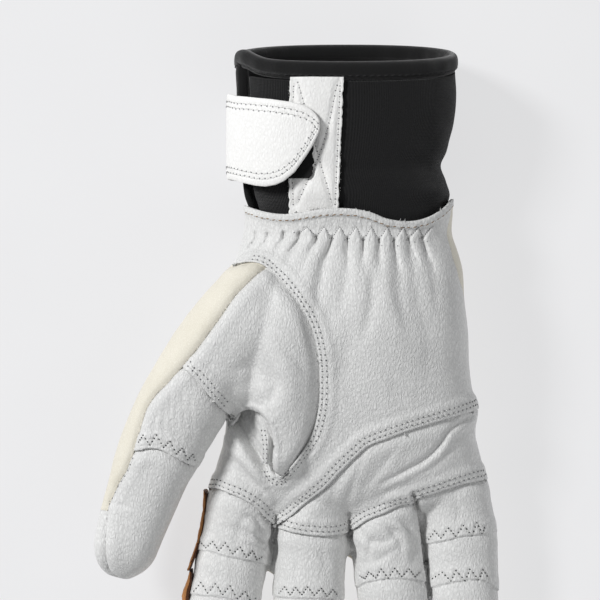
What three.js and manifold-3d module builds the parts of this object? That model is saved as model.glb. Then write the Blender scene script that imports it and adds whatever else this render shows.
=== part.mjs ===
// A right-hand cross-country ski glove lying on its back, palm up, in millimetres.
// +X is the little finger's side, +Y runs to the cuff's mouth, and +Z is the palm's side.
// It is hollow: every wall is the difference between an outer form and the same form inset.
import * as THREE from "three";
import { LoftGeometry } from "three/addons/geometries/LoftGeometry.js";
import { mergeVertices } from "three/addons/utils/BufferGeometryUtils.js";
import Module from "manifold-3d";

const wasm = await Module();
wasm.setup();

// Driving dimensions
const HAND_WALL = 2.2; // leather with its thin padding
const CUFF_WALL = 2.4; // doubled knit
const GAP = 0.35; // clearance between neighbouring pieces
const SQUARENESS = 2.3; // 2 is an ellipse
const RIB_PITCH = 6.1; // one gathered rib of the wrist
const RIB_PHASE = 3.4; // where a rib's crest stands along X
const FINEST = 0.24; // detail smaller than this is left out
const Z_BELOW = -6;
const Z_ABOVE = 72;

// Colours read from the object
const WHITE_LEATHER = { color: 0xe9e9ea, roughness: 0.55, metalness: 0 };
const BEIGE_LEATHER = { color: 0xd6cdb4, roughness: 0.7, metalness: 0 };
const TAN_LEATHER = { color: 0x9a6236, roughness: 0.75, metalness: 0 };
const BLACK_KNIT = { color: 0x1d1d1e, roughness: 0.9, metalness: 0 };
const BLACK_BINDING = { color: 0x161617, roughness: 0.6, metalness: 0 };
const HOOK_TAPE = { color: 0x0e0e0f, roughness: 1, metalness: 0 };

// The hand from wrist to knuckles: where its sides, back and palm stand at each length.
const HAND_ROWS = [
  { y: 82, left: -22, right: 61, back: 1.5, palm: 55.5 },
  { y: 70, left: -21.8, right: 60, back: 1.2, palm: 53.2 },
  { y: 63, left: -22.3, right: 59.8, back: 0.8, palm: 51.2 },
  { y: 57, left: -24, right: 61.8, back: 0.3, palm: 52.8 },
  { y: 50, left: -26, right: 63.8, back: -0.6, palm: 54.6 },
  { y: 38, left: -26.5, right: 64.8, back: -1.4, palm: 55.4 },
  { y: 25, left: -27, right: 66.3, back: -1.6, palm: 54.4 },
  { y: 10, left: -28, right: 67, back: -1.6, palm: 51.4 },
  { y: 0, left: -28.5, right: 68.6, back: -1.4, palm: 49.4 },
  { y: -5, left: -28.8, right: 70.1, back: -1.2, palm: 48.3 },
  { y: -12, left: -29, right: 69.2, back: -0.8, palm: 46.6 },
  { y: -20, left: -30, right: 69.3, back: 0, palm: 44.6 },
  { y: -28, left: -31.6, right: 71.2, back: 0.9, palm: 42 },
  { y: -36, left: -32, right: 72.4, back: 2.2, palm: 38.4 },
  { y: -42, left: -27.5, right: 68, back: 4.4, palm: 34.2 },
  { y: -46.5, left: -19, right: 55, back: 9, palm: 29 },
];
// Lengths at which the outer form is skinned: closer over the gathers and the folds.
const OUTER_STATIONS = [
  82, 72, 66.5, 61.5, 56, 49, 40, 28, 14, 2, -6, -12, -18, -25, -32, -38, -43, -46.5,
];
const INNER_STATIONS = [84, 63, 50, 25, 0, -20, -32, -40];

// Soft valleys pressed into the palm: a line from one end to the other, its depth and half width.
const FOLDS = [
  { x1: 73, y1: -7, x2: 42, y2: -28, depth: 1.5, reach: 3.2 }, // big fold of the knuckle patch
  { x1: 30, y1: -24, x2: 16, y2: -48, depth: 0.7, reach: 2.5 },
  { x1: 22, y1: 48, x2: 17, y2: 8, depth: 0.9, reach: 5 }, // hollow between the two palm muscles
  { x1: 46, y1: 45, x2: 52, y2: 10, depth: 0.7, reach: 5 },
];

// Limbs: their centre line, half width and half height. The last row is the very tip.
const THUMB = [
  { x: -8, y: 50, z: 33, w: 13, h: 15 },
  { x: -20, y: 32, z: 37, w: 18.2, h: 19.5 },
  { x: -38, y: 9.5, z: 35, w: 17.6, h: 18 },
  { x: -50, y: -12, z: 32.5, w: 17, h: 16.5 },
  { x: -57.5, y: -27.5, z: 31, w: 15.5, h: 15.2 },
  { x: -63.5, y: -44, z: 30.5, w: 13.9, h: 14 },
  { x: -68, y: -58, z: 31, w: 12.6, h: 12.6 },
  { x: -71.5, y: -71.5, z: 32, w: 11.4, h: 11 },
];
const THENAR = [
  { x: -9, y: 49, z: 38, w: 9, h: 11 },
  { x: -7, y: 35, z: 38, w: 13.5, h: 17.8 },
  { x: -6, y: 15, z: 37.5, w: 15, h: 19.3 },
  { x: -6, y: 0, z: 36.5, w: 14.5, h: 17.8 },
  { x: -6.2, y: -15, z: 34.5, w: 11.5, h: 15.5 },
  { x: -8.5, y: -33.5, z: 31, w: 9, h: 12 },
];
const WEB = [
  { x: -13, y: 46, z: 36, w: 9, h: 12 },
  { x: -20, y: 31, z: 36.5, w: 12, h: 18.5 },
  { x: -24, y: 15, z: 35, w: 11.5, h: 18 },
  { x: -25, y: -7, z: 30.5, w: 8.5, h: 11 },
];
const INDEX = [
  { x: -17, y: -24, z: 21, w: 13.5, h: 15.5 },
  { x: -22.5, y: -42, z: 18.5, w: 14.3, h: 15 },
  { x: -26.2, y: -58.6, z: 17, w: 14.2, h: 14 },
  { x: -29.4, y: -79, z: 17.5, w: 14.2, h: 13.8 },
  { x: -33.6, y: -100, z: 20.5, w: 13.8, h: 13 },
  { x: -36.6, y: -116, z: 25, w: 13, h: 12 },
  { x: -38.6, y: -128, z: 30, w: 11.8, h: 11 },
];
const MIDDLE = [
  { x: 7, y: -24, z: 21, w: 13.5, h: 15.5 },
  { x: 5, y: -45, z: 18.5, w: 14.2, h: 15 },
  { x: 4.5, y: -60, z: 17, w: 14.1, h: 14 },
  { x: 3.5, y: -80, z: 17.5, w: 14, h: 13.8 },
  { x: 2.4, y: -102, z: 20.5, w: 13.6, h: 13 },
  { x: 1.5, y: -122, z: 25.5, w: 12.8, h: 12 },
  { x: 0.8, y: -138, z: 32, w: 11.8, h: 11 },
];
const RING = [
  { x: 30, y: -24, z: 20, w: 13.5, h: 15.5 },
  { x: 33.6, y: -45, z: 18, w: 14.2, h: 15 },
  { x: 34.8, y: -60, z: 16.8, w: 13.9, h: 14 },
  { x: 36.6, y: -80, z: 17.3, w: 13.6, h: 13.6 },
  { x: 38, y: -100, z: 20.5, w: 13.2, h: 12.8 },
  { x: 39, y: -118, z: 25.5, w: 12.4, h: 11.8 },
  { x: 39.6, y: -132, z: 31, w: 11.4, h: 10.8 },
];
const LITTLE = [
  { x: 55, y: -16, z: 20, w: 13, h: 15.5 },
  { x: 60.6, y: -36, z: 17.5, w: 13.6, h: 14.5 },
  { x: 63.9, y: -54, z: 16, w: 13.9, h: 13.8 },
  { x: 65.2, y: -80, z: 17, w: 13.3, h: 13 },
  { x: 66.4, y: -96, z: 20.5, w: 12.4, h: 12 },
  { x: 67.2, y: -111, z: 26, w: 11, h: 10.5 },
];
const TIP_DOME = 12; // length of a fingertip's rounding
const FINGER_SIDES = 12;
const THUMB_SIDES = 16;

// The cuff: its mouth leans, so that its back reaches further than its palm side.
const CUFF_ROWS = [
  { palmY: 123.2, backY: 130.4, left: -24.3, right: 60.6, back: 2.6, palm: 57 },
  { palmY: 115, backY: 120.5, left: -24.4, right: 61, back: 2.5, palm: 56.4 },
  { palmY: 104, backY: 108, left: -24.1, right: 60, back: 2.4, palm: 54.6 },
  { palmY: 94, backY: 96, left: -23.4, right: 57.8, back: 2.4, palm: 52.8 },
  { palmY: 88.5, backY: 89.5, left: -22.9, right: 55.9, back: 2.6, palm: 51.8 },
  { palmY: 83.5, backY: 83.5, left: -22.6, right: 57.9, back: 2.5, palm: 52 },
  { palmY: 78.8, backY: 78, left: -21.8, right: 59.2, back: 2.6, palm: 51.8 },
  { palmY: 74, backY: 72, left: -19.2, right: 57.4, back: 4.4, palm: 50 },
  { palmY: 63.5, backY: 58, left: -19.2, right: 56.6, back: 4.2, palm: 48 },
];
const CUFF_SIDES = 32;

// The soft binding: rolled round the cuff's mouth, then down the back edge of the slit at the thumb's side.
const BINDING_HALF_HEIGHT = 3.5;
const BINDING_HALF_THICK = 2.5;
const BINDING_SIDES = 8;
const BINDING_START = 151; // angle of the slit's palm edge
const BINDING_TURN = -184; // angle where it turns down the slit
const MOUTH_STEPS = 30;
const TURN_RADIUS = 4;
const SLIT_BINDING_X = -22.4;
const SLIT_LOW = 33.4;
const SLIT_HIGH = 43.6;
const SLIT_BOTTOM = 92;

// The closing strap: how far it stands off the cuff at each angle round it, 90 being the palm.
const STRAP_PATH = [
  { angle: 96, stand: 3.7 },
  { angle: 112, stand: 3.7 },
  { angle: 128, stand: 3.8 },
  { angle: 142, stand: 3.9 },
  { angle: 155, stand: 3.9 },
  { angle: 168, stand: 3.5 },
  { angle: 182, stand: 3.1 },
  { angle: 196, stand: 2.6 },
  { angle: 210, stand: 1.6 },
  { angle: 225, stand: 0.9 },
  { angle: 240, stand: 0.4 },
  { angle: 256, stand: 0.3 },
];
const STRAP_THICK = 1.8;

// Outlines on the palm, each a line of [x, y] seen from above.
const WRIST_EDGE = [
  [-40, 82], [-26, 76], [-20.7, 73.7], [-16.4, 72.1], [-11.7, 70.9], [-5.9, 70.3], [0, 70.9], [7.8, 72.1],
  [15.6, 72.5], [21.5, 72.1], [27.3, 70.9], [33.2, 68.6], [39, 67.6], [44.9, 67.8], [50.7, 69.6], [55.4, 72.5],
  [60.5, 77.2], [75, 84],
];
const BACK_EDGE = [[-40, 61], [-22, 61], [0, 58.5], [30, 60.5], [48, 67], [58, 75], [75, 84]];
const THUMB_ARC = [
  [-14.8, 51], [-5.9, 42.9], [0, 35.1], [4.7, 25.3], [7, 15.6], [7.6, 5.8], [7, -5.9], [4.3, -15.7],
  [-0.4, -23.5], [-5.5, -29.3], [-9, -32.8],
];
const THUMB_SEAM = [[-56, 22], [-43.3, 14.4], [-39, 8.9], [-33.2, 1.9], [-28.1, -3.6], [-20, -14]];
const THUMB_ZIGZAG = [[-72, -16], [-63.2, -17.6], [-57.7, -18.8], [-52.7, -19.6], [-46.8, -22.7], [-34, -34]];
const THUMB_BACK_EDGE = [
  [-13.7, 50.3], [-23.4, 41.3], [-33.2, 27.3], [-42.9, 14.4], [-49.9, 7.4], [-56.6, 0.3], [-60, -5.9],
  [-62.4, -14.5], [-65.9, -26.2], [-71, -36.3], [-75.3, -45.7], [-76, -52.7], [-75.8, -60.5], [-74.5, -67.1],
  [-71.5, -76],
];
const PATCH_EDGE = [
  [82, -2], [70.6, -5.5], [54.9, -9.9], [42.4, -13.7], [33.9, -16.8], [26.3, -19.9], [21.5, -24.2],
  [15.9, -29.7], [10.3, -35.9], [3.4, -41.5], [-4.3, -48.5], [-9.9, -52.9],
];
const FINGER_EDGE = [
  [-48, -37.5], [-36.7, -37.7], [-32.8, -37.2], [-27.6, -38.8], [-21.8, -41.4], [-16.7, -45], [-13.5, -48.7],
  [-9.9, -52.9], [-6.4, -53.4], [-0.8, -54.5], [6.1, -55.4], [14.4, -55.4], [19, -54.5], [26.9, -49.2],
  [33.9, -46.1], [38.8, -43.7], [44.5, -42.2], [46.4, -40.8], [52.7, -38.7], [63.2, -35.5], [82, -33],
];
const CROTCH_SLITS = [
  [[-10.4, -50], [-11.2, -66]],
  [[19.2, -52], [20.6, -70]],
  [[46.8, -39], [50.4, -70]],
];
const STRAP_OUTLINE = [
  [-40, 119], [-28.9, 118.1], [-23.4, 116.4], [-14.8, 115], [-5.9, 113.4], [1.2, 111.9], [5.9, 109.2],
  [7.8, 105.6], [8.2, 102.5], [7, 98.2], [4.3, 92.8], [0, 87.7], [-4.7, 83.8], [-11.7, 81.5], [-19.5, 82.2],
  [-26.5, 83.8], [-40, 84],
];
const CUFF_STRIP_OUTLINE = [[-3.5, 122], [16.8, 122], [15.8, 99], [14.8, 73], [-3.9, 73], [-4.6, 99]];
const HOOK_TAB_OUTLINE = [[-12, 102], [3, 102], [5.1, 99], [5.1, 88], [4, 85], [1, 84], [-12, 84]];
// Where the beige back meets the palm's white, seen from the side, for each half of the hand.
const BACK_TOP_THUMB_SIDE = [
  [84, 20], [60, 20], [40, 17], [0, 16], [-30, 16], [-60, 14.5], [-80, 14.5], [-100, 17], [-116, 21.5],
  [-130, 26], [-142, 30],
];
const BACK_TOP_LITTLE_SIDE = [
  [84, 33], [74, 34], [60, 37], [53, 39.5], [45, 38], [38, 31], [30, 23], [20, 19], [0, 16.5], [-30, 16],
  [-60, 14.5], [-80, 14.5], [-100, 17], [-116, 21.5], [-142, 30],
];
const MID_X = 20;

// Turns a three.js geometry into a solid that can be joined and cut.
function solid(geometry) {
  const bare = geometry.index ? geometry.toNonIndexed() : geometry.clone();
  for (const name of Object.keys(bare.attributes)) {
    if (name !== "position") bare.deleteAttribute(name);
  }
  const merged = mergeVertices(bare, 1e-4);
  const triVerts = new Uint32Array(merged.index.array);
  const vertProperties = merged.attributes.position.array;
  const made = new wasm.Manifold(new wasm.Mesh({ numProp: 3, vertProperties, triVerts }));
  if (made.volume() > 0) return made;
  for (let i = 0; i < triVerts.length; i += 3) {
    [triVerts[i + 1], triVerts[i + 2]] = [triVerts[i + 2], triVerts[i + 1]];
  }
  return new wasm.Manifold(new wasm.Mesh({ numProp: 3, vertProperties, triVerts }));
}

// Skins a row of sections as a closed solid, turning them all if they run the wrong way round.
function loft(sections, caps = true) {
  const [first, second] = sections;
  const normal = new THREE.Vector3();
  const onward = new THREE.Vector3();
  first.forEach((p, i) => {
    const q = first[(i + 1) % first.length];
    normal.add(new THREE.Vector3().crossVectors(p, q));
    onward.add(second[i]).sub(p);
  });
  const ordered = normal.dot(onward) < 0 ? sections.map((section) => [...section].reverse()) : sections;
  return solid(new LoftGeometry(ordered, { capStart: caps, capEnd: caps }));
}

// Turns a solid back into a three.js geometry.
function geometryOf(made) {
  const mesh = made.getMesh();
  const position = new Float32Array(mesh.numVert * 3);
  for (let i = 0; i < mesh.numVert; i++) {
    position.set(mesh.vertProperties.subarray(i * mesh.numProp, i * mesh.numProp + 3), i * 3);
  }
  const geometry = new THREE.BufferGeometry();
  geometry.setAttribute("position", new THREE.BufferAttribute(position, 3));
  geometry.setIndex(new THREE.BufferAttribute(mesh.triVerts, 1));
  geometry.computeVertexNormals();
  return geometry;
}

// Height of a rounded-square oval at a share of its half width.
const ovalRise = (share) => (1 - Math.min(1, Math.abs(share)) ** SQUARENESS) ** (1 / SQUARENESS);

// A point of that oval at an angle, for half sizes of 1.
function ovalPoint(angle) {
  const c = Math.cos(angle);
  const s = Math.sin(angle);
  return [Math.sign(c) * Math.abs(c) ** (2 / SQUARENESS), Math.sign(s) * Math.abs(s) ** (2 / SQUARENESS)];
}

// A smooth reading of a table's columns at any length.
function readerOf(rows, key) {
  const sorted = [...rows].sort((a, b) => a[key] - b[key]);
  const columns = Object.keys(rows[0]).filter((name) => name !== key);
  const samples = sorted.flatMap((row) => columns.map((name) => row[name]));
  const interpolant = new THREE.CubicInterpolant(sorted.map((row) => row[key]), samples, columns.length);
  return (at) => {
    const values = interpolant.evaluate(at);
    return Object.fromEntries(columns.map((name, i) => [name, values[i]]));
  };
}

// How deep the gathers are at a length: none under the wrist edge, deepest at the elastic's stitches.
function gatherDepth(y) {
  if (y > 68 || y < 34) return 0;
  return y > 60 ? (1.5 * (68 - y)) / 8 : 1.5 * ((y - 34) / 26) ** 1.6;
}

// How far the palm is pressed in at a point by its gathers and folds.
function pressedIn(x, y) {
  const ribs = gatherDepth(y) * (0.5 - 0.5 * Math.cos((2 * Math.PI * (x - RIB_PHASE)) / RIB_PITCH));
  return FOLDS.reduce((sum, fold) => {
    const along = new THREE.Vector2(fold.x2 - fold.x1, fold.y2 - fold.y1);
    const to = new THREE.Vector2(x - fold.x1, y - fold.y1);
    const share = THREE.MathUtils.clamp(to.dot(along) / along.lengthSq(), 0, 1);
    const off = to.sub(along.multiplyScalar(share)).length();
    return sum + fold.depth * Math.sin(Math.PI * (0.15 + 0.7 * share)) * Math.exp(-((off / fold.reach) ** 2));
  }, ribs);
}

// The places round a section of the outer hand: even across the palm, wider over its back.
function handShares() {
  const edge = [0, 0.2, 0.4, 0.6].map((a) => ovalPoint(a));
  const start = edge[3][0];
  const palmSteps = 32;
  const across = Array.from({ length: palmSteps + 1 }, (_, i) => start * (1 - (2 * i) / palmSteps));
  const corner = edge.slice(0, 3);
  const mirrored = [...corner].reverse().map(([x, z]) => [-x, z]);
  const palm = [...corner, ...across.map((x) => [x, ovalRise(x)]), ...mirrored];
  const backSteps = 12;
  const back = Array.from({ length: backSteps - 1 }, (_, i) => ovalPoint(Math.PI + (Math.PI * (i + 1)) / backSteps));
  return [...palm, ...back];
}

// The body of the hand as one closed form, inset for its hollow or grown for a clearance.
function handForm(inset, stations, shares, detailed) {
  const at = readerOf(HAND_ROWS, "y");
  const sections = stations.map((y) => {
    const row = at(y);
    const centre = (row.left + row.right) / 2;
    const half = (row.right - row.left) / 2 - inset;
    const middle = (row.palm + row.back) / 2;
    const rise = (row.palm - row.back) / 2 - inset;
    return shares.map(([u, v]) => {
      const x = centre + half * u;
      const press = detailed && v > 0 ? pressedIn(x, y) * Math.min(1, v * 1.6) : 0;
      return new THREE.Vector3(x, y, Math.max(inset, middle + rise * v - press));
    });
  });
  return loft(sections);
}

// A finger or thumb: ovals square to a smooth centre line, closed by a round tip.
function limbForm(rows, inset, sides, bodySteps) {
  const centres = rows.map((row) => new THREE.Vector3(row.x, row.y, row.z));
  const curve = new THREE.CatmullRomCurve3(centres, false, "centripetal");
  const length = curve.getLength();
  const domeStart = length - TIP_DOME;
  const dome = TIP_DOME - inset;
  const stations = Array.from({ length: bodySteps + 1 }, (_, i) => ({ at: (domeStart * i) / bodySteps, share: 1 }));
  for (const turn of [0.38, 0.72, 1.02, 1.3]) {
    stations.push({ at: domeStart + dome * Math.sin(turn), share: Math.cos(turn) });
  }
  const up = new THREE.Vector3(0, 0, 1);
  const sections = stations.map(({ at, share }) => {
    const u = Math.min(1, at / length);
    const along = curve.getTangentAt(u);
    const place = curve.getPointAt(u).addScaledVector(along, Math.max(0, at - length));
    const t = curve.getUtoTmapping(u) * (rows.length - 1);
    const i = Math.min(rows.length - 2, Math.floor(t));
    const w = THREE.MathUtils.lerp(rows[i].w, rows[i + 1].w, t - i) - inset;
    const h = THREE.MathUtils.lerp(rows[i].h, rows[i + 1].h, t - i) - inset;
    const side = new THREE.Vector3().crossVectors(along, up).normalize();
    const over = new THREE.Vector3().crossVectors(side, along);
    return Array.from({ length: sides }, (_, k) => {
      const [a, b] = ovalPoint((2 * Math.PI * k) / sides);
      return place.clone().addScaledVector(side, a * w * share).addScaledVector(over, b * h * share);
    });
  });
  return loft(sections);
}

// A point of the cuff's outside at an angle and a row of its table, pushed out by a stand-off.
function cuffPoint(row, angle, stand) {
  const [u, v] = ovalPoint(angle);
  const centre = (row.left + row.right) / 2;
  const middle = (row.palm + row.back) / 2;
  const y = THREE.MathUtils.lerp(row.backY, row.palmY, (v + 1) / 2);
  return new THREE.Vector3(
    centre + ((row.right - row.left) / 2 + stand) * u,
    y,
    middle + ((row.palm - row.back) / 2 + stand) * v,
  );
}

// The cuff as a closed form; its hollow runs past both ends by the given overrun.
function cuffForm(stand, sides, overrun) {
  const last = CUFF_ROWS.length - 1;
  const sections = CUFF_ROWS.map((row, i) => {
    const shift = i === 0 ? overrun : i === last ? -overrun : 0;
    return Array.from({ length: sides }, (_, k) => {
      const point = cuffPoint(row, (2 * Math.PI * k) / sides, stand);
      return point.setY(point.y + shift);
    });
  });
  return loft(sections);
}

// An upright prism over a closed outline of [x, y].
function prism(outline, low = Z_BELOW, high = Z_ABOVE) {
  const shape = new THREE.Shape(outline.map(([x, y]) => new THREE.Vector2(x, y)));
  return solid(new THREE.ExtrudeGeometry(shape, { depth: high - low, bevelEnabled: false }).translate(0, 0, low));
}

// A thin upright wall along a line, which parts two panels at their seam.
function seamCut(line, low = Z_BELOW, high = Z_ABOVE) {
  const points = line.map(([x, y]) => new THREE.Vector2(x, y));
  const side = (i) => {
    const along = points[Math.min(i + 1, points.length - 1)].clone().sub(points[Math.max(i - 1, 0)]).normalize();
    return new THREE.Vector2(-along.y, along.x).multiplyScalar(GAP / 2);
  };
  const one = points.map((p, i) => p.clone().add(side(i)));
  const other = points.map((p, i) => p.clone().sub(side(i))).reverse();
  return prism([...one, ...other].map((p) => [p.x, p.y]), low, high);
}

// A solid under a line of [y, z], running along X between two places.
function underLine(line, lift, x1, x2) {
  const top = line.map(([y, z]) => new THREE.Vector2(y, z + lift));
  const floor = [new THREE.Vector2(line.at(-1)[0], -20), new THREE.Vector2(line[0][0], -20)];
  const shape = new THREE.Shape([...top, ...floor]);
  const block = new THREE.ExtrudeGeometry(shape, { depth: x2 - x1, bevelEnabled: false });
  const axes = new THREE.Matrix4().set(0, 0, 1, x1, 1, 0, 0, 0, 0, 1, 0, 0, 0, 0, 0, 1);
  return solid(block.applyMatrix4(axes));
}

// The run of the binding: an oval section carried round the mouth, through the turn and down the slit.
function bindingForm(grow) {
  const mouthRow = {
    ...CUFF_ROWS[0],
    palmY: CUFF_ROWS[0].palmY + BINDING_HALF_HEIGHT + GAP,
    backY: CUFF_ROWS[0].backY + BINDING_HALF_HEIGHT + GAP,
  };
  const frames = Array.from({ length: MOUTH_STEPS + 1 }, (_, i) => {
    const angle = THREE.MathUtils.degToRad(THREE.MathUtils.lerp(BINDING_START, BINDING_TURN, i / MOUTH_STEPS));
    const place = cuffPoint(mouthRow, angle, 0.2 - CUFF_WALL / 2);
    const out = cuffPoint(mouthRow, angle, 1).sub(cuffPoint(mouthRow, angle, 0)).setY(0).normalize();
    return { place, out, along: new THREE.Vector3(0, 1, 0) };
  });
  const turn = frames.at(-1).place;
  for (const share of [0.25, 0.5, 0.75, 1]) {
    const angle = (Math.PI / 2) * share;
    const along = new THREE.Vector3(0, Math.cos(angle), Math.sin(angle));
    const place = turn.clone().addScaledVector(along, TURN_RADIUS);
    place.y -= TURN_RADIUS;
    place.x = THREE.MathUtils.lerp(turn.x, SLIT_BINDING_X, share);
    frames.push({ place, out: new THREE.Vector3(-1, 0, 0), along });
  }
  const top = frames.at(-1);
  for (const share of [0.3, 0.65, 1]) {
    const place = top.place.clone().setY(THREE.MathUtils.lerp(top.place.y, SLIT_BOTTOM + GAP, share));
    frames.push({ place, out: top.out, along: top.along.clone().multiplyScalar(1 - 0.15 * share) });
  }
  const sections = frames.map(({ place, out, along }) =>
    Array.from({ length: BINDING_SIDES }, (_, k) => {
      const angle = (2 * Math.PI * (k + 0.5)) / BINDING_SIDES;
      return place
        .clone()
        .addScaledVector(out, (BINDING_HALF_THICK + grow) * Math.cos(angle))
        .addScaledVector(along, (BINDING_HALF_HEIGHT + grow) * Math.sin(angle));
    }),
  );
  return loft(sections);
}

const LIMBS = { index: INDEX, middle: MIDDLE, ring: RING, little: LITTLE };

// Everything that the leather hand fills, inset for its hollow.
function handWhole(inset, detailed) {
  const sides = detailed ? FINGER_SIDES : 12;
  const steps = detailed ? 6 : 4;
  const circle = Array.from({ length: 28 }, (_, i) => ovalPoint((2 * Math.PI * i) / 28));
  const body = detailed
    ? handForm(inset, OUTER_STATIONS, handShares(), true)
    : handForm(inset, INNER_STATIONS, circle, false);
  const fingers = Object.values(LIMBS).map((rows) => limbForm(rows, inset, sides, steps));
  const thumb = limbForm(THUMB, inset, detailed ? THUMB_SIDES : 14, detailed ? 9 : 5);
  const thenar = limbForm(THENAR, inset, detailed ? THUMB_SIDES : 12, detailed ? 6 : 4);
  const web = limbForm(WEB, inset, detailed ? THUMB_SIDES : 12, detailed ? 5 : 4);
  return [...fingers, thumb, thenar, web].reduce((whole, limb) => whole.add(limb), body);
}

// The thumb with the muscle at its root, up to the arched seam across the palm.
function thumbRegion(grow) {
  const arc = THUMB_ARC.map(([x, y]) => [x + grow, y]);
  const left = prism([...arc, [-9, -60], [-120, -90], [-120, 50.6 + grow], [-20, 51.4 + grow]]);
  const thumb = limbForm(THUMB, -grow - 0.02, THUMB_SIDES, 9);
  const thenar = limbForm(THENAR, -grow - 0.02, THUMB_SIDES, 6);
  const web = limbForm(WEB, -grow - 0.02, THUMB_SIDES, 5);
  return thumb.add(thenar).add(web).intersect(left);
}

// The part of the thumb that its beige back covers.
function thumbBackRegion(grow) {
  const edge = THUMB_BACK_EDGE.map(([x, y]) => [x + grow, y]);
  const outside = prism([...edge, [-120, -90], [-120, 60], [-13.7 + grow, 60]]);
  const under = prism([[-120, -90], [-20 + grow, -90], [-20 + grow, 60], [-120, 60]], Z_BELOW, 24 + grow);
  return outside.add(under);
}

// The half of the hand that its beige back covers.
function backRegion(grow) {
  return underLine(BACK_TOP_THUMB_SIDE, grow, -60, MID_X).add(underLine(BACK_TOP_LITTLE_SIDE, grow, MID_X, 100));
}

// Picks, among the pieces that the seams leave, the one that holds a small block at a place.
function pieceAt(pieces, [x, y, z], name) {
  const probe = solid(new THREE.BoxGeometry(3, 3, 24).translate(x, y, z));
  const found = pieces
    .map((piece) => ({ piece, shared: piece.intersect(probe).volume() }))
    .sort((a, b) => b.shared - a.shared)[0];
  if (!found || found.shared <= 0) throw new Error(`no piece at ${name}`);
  return found.piece;
}

// The separate pieces of a shell, without crumbs.
const wholePieces = (shell) => shell.decompose().filter((piece) => piece.volume() > 30);

const group = new THREE.Group();
group.name = "glove";

// Adds one named piece to the glove.
function put(name, made, finish) {
  const mesh = new THREE.Mesh(geometryOf(made.simplify(FINEST)), new THREE.MeshStandardMaterial(finish));
  mesh.name = name;
  group.add(mesh);
}

// Leather hand: one hollow shell, then parted at its seams
const cuffOuter = cuffForm(0, CUFF_SIDES, 0);
const handShell = handWhole(0, true)
  .subtract(handWhole(HAND_WALL, false))
  .subtract(cuffForm(GAP, CUFF_SIDES, 3))
  .subtract(prism([...WRIST_EDGE, [75, 100], [-40, 100]], 22))
  .subtract(prism([...BACK_EDGE, [75, 100], [-40, 100]], Z_BELOW, 22.5));
const thumbShell = handShell.intersect(thumbRegion(0));
const palmAndBack = handShell.subtract(thumbRegion(GAP));

const fingerEdgeCut = seamCut(FINGER_EDGE);
const slitCuts = CROTCH_SLITS.map((line) => seamCut(line)).reduce((a, b) => a.add(b));
const frontPieces = wholePieces(
  palmAndBack.subtract(backRegion(GAP)).subtract(fingerEdgeCut).subtract(slitCuts).subtract(seamCut(PATCH_EDGE)),
);
put("palm_panel", pieceAt(frontPieces, [40, 20, 50], "palm_panel"), WHITE_LEATHER);
put("knuckle_patch", pieceAt(frontPieces, [40, -30, 40], "knuckle_patch"), WHITE_LEATHER);

const backPieces = wholePieces(palmAndBack.intersect(backRegion(0)).subtract(fingerEdgeCut).subtract(slitCuts));
put("back_panel", pieceAt(backPieces, [30, 10, 4], "back_panel"), BEIGE_LEATHER);

for (const [finger, rows] of Object.entries(LIMBS)) {
  const { x, y, z, h } = rows.at(-3);
  put(`${finger}_front`, pieceAt(frontPieces, [x, y, z + h], `${finger}_front`), WHITE_LEATHER);
  put(`${finger}_back`, pieceAt(backPieces, [x, y, z - h], `${finger}_back`), BEIGE_LEATHER);
}

// Thumb: three palm-side panels of white leather over a beige back with a white tip
const thumbFront = wholePieces(
  thumbShell.subtract(thumbBackRegion(GAP)).subtract(seamCut(THUMB_SEAM)).subtract(seamCut(THUMB_ZIGZAG)),
);
put("thenar_panel", pieceAt(thumbFront, [-8, 20, 52], "thenar_panel"), WHITE_LEATHER);
put("thumb_middle", pieceAt(thumbFront, [-48, -8, 46], "thumb_middle"), WHITE_LEATHER);
put("thumb_tip", pieceAt(thumbFront, [-64, -50, 42], "thumb_tip"), WHITE_LEATHER);
const thumbBack = wholePieces(
  thumbShell.intersect(thumbBackRegion(0)).subtract(seamCut([[-120, -44.6], [-20, -44.6]])),
);
put("thumb_back", pieceAt(thumbBack, [-62, -24, 18], "thumb_back"), BEIGE_LEATHER);
put("thumb_tip_back", pieceAt(thumbBack, [-68, -58, 20], "thumb_tip_back"), WHITE_LEATHER);

// Index guard: two lapped tan panels round the finger's outer side
const guardSide = prism([[-29, -36], [-60, -36], [-70, -130], [-42, -130], [-36.6, -79]], 3, 24);
function guardPiece(inner, thick, y1, y2) {
  const layer = limbForm(INDEX, -(inner + thick), FINGER_SIDES, 6).subtract(limbForm(INDEX, -inner, FINGER_SIDES, 6));
  return layer.intersect(guardSide).intersect(prism([[-80, y1], [0, y1], [0, y2], [-80, y2]]));
}
put("index_guard_upper", guardPiece(GAP, 1.5, -39.5, -70.2), TAN_LEATHER);
put("index_guard_lower", guardPiece(GAP, 2.2, -70.6, -112), TAN_LEATHER);

// Knit cuff with its slit at the thumb's side, and the binding that edges both
const slit = solid(
  new THREE.BoxGeometry(16, 60, SLIT_HIGH - SLIT_LOW).translate(-22, SLIT_BOTTOM + 30, (SLIT_HIGH + SLIT_LOW) / 2),
);
const cuff = cuffOuter.subtract(cuffForm(-CUFF_WALL, 24, 3)).subtract(slit).subtract(bindingForm(GAP));
put("knit_cuff", cuff, BLACK_KNIT);
put("cuff_binding", bindingForm(0), BLACK_BINDING);

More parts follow.
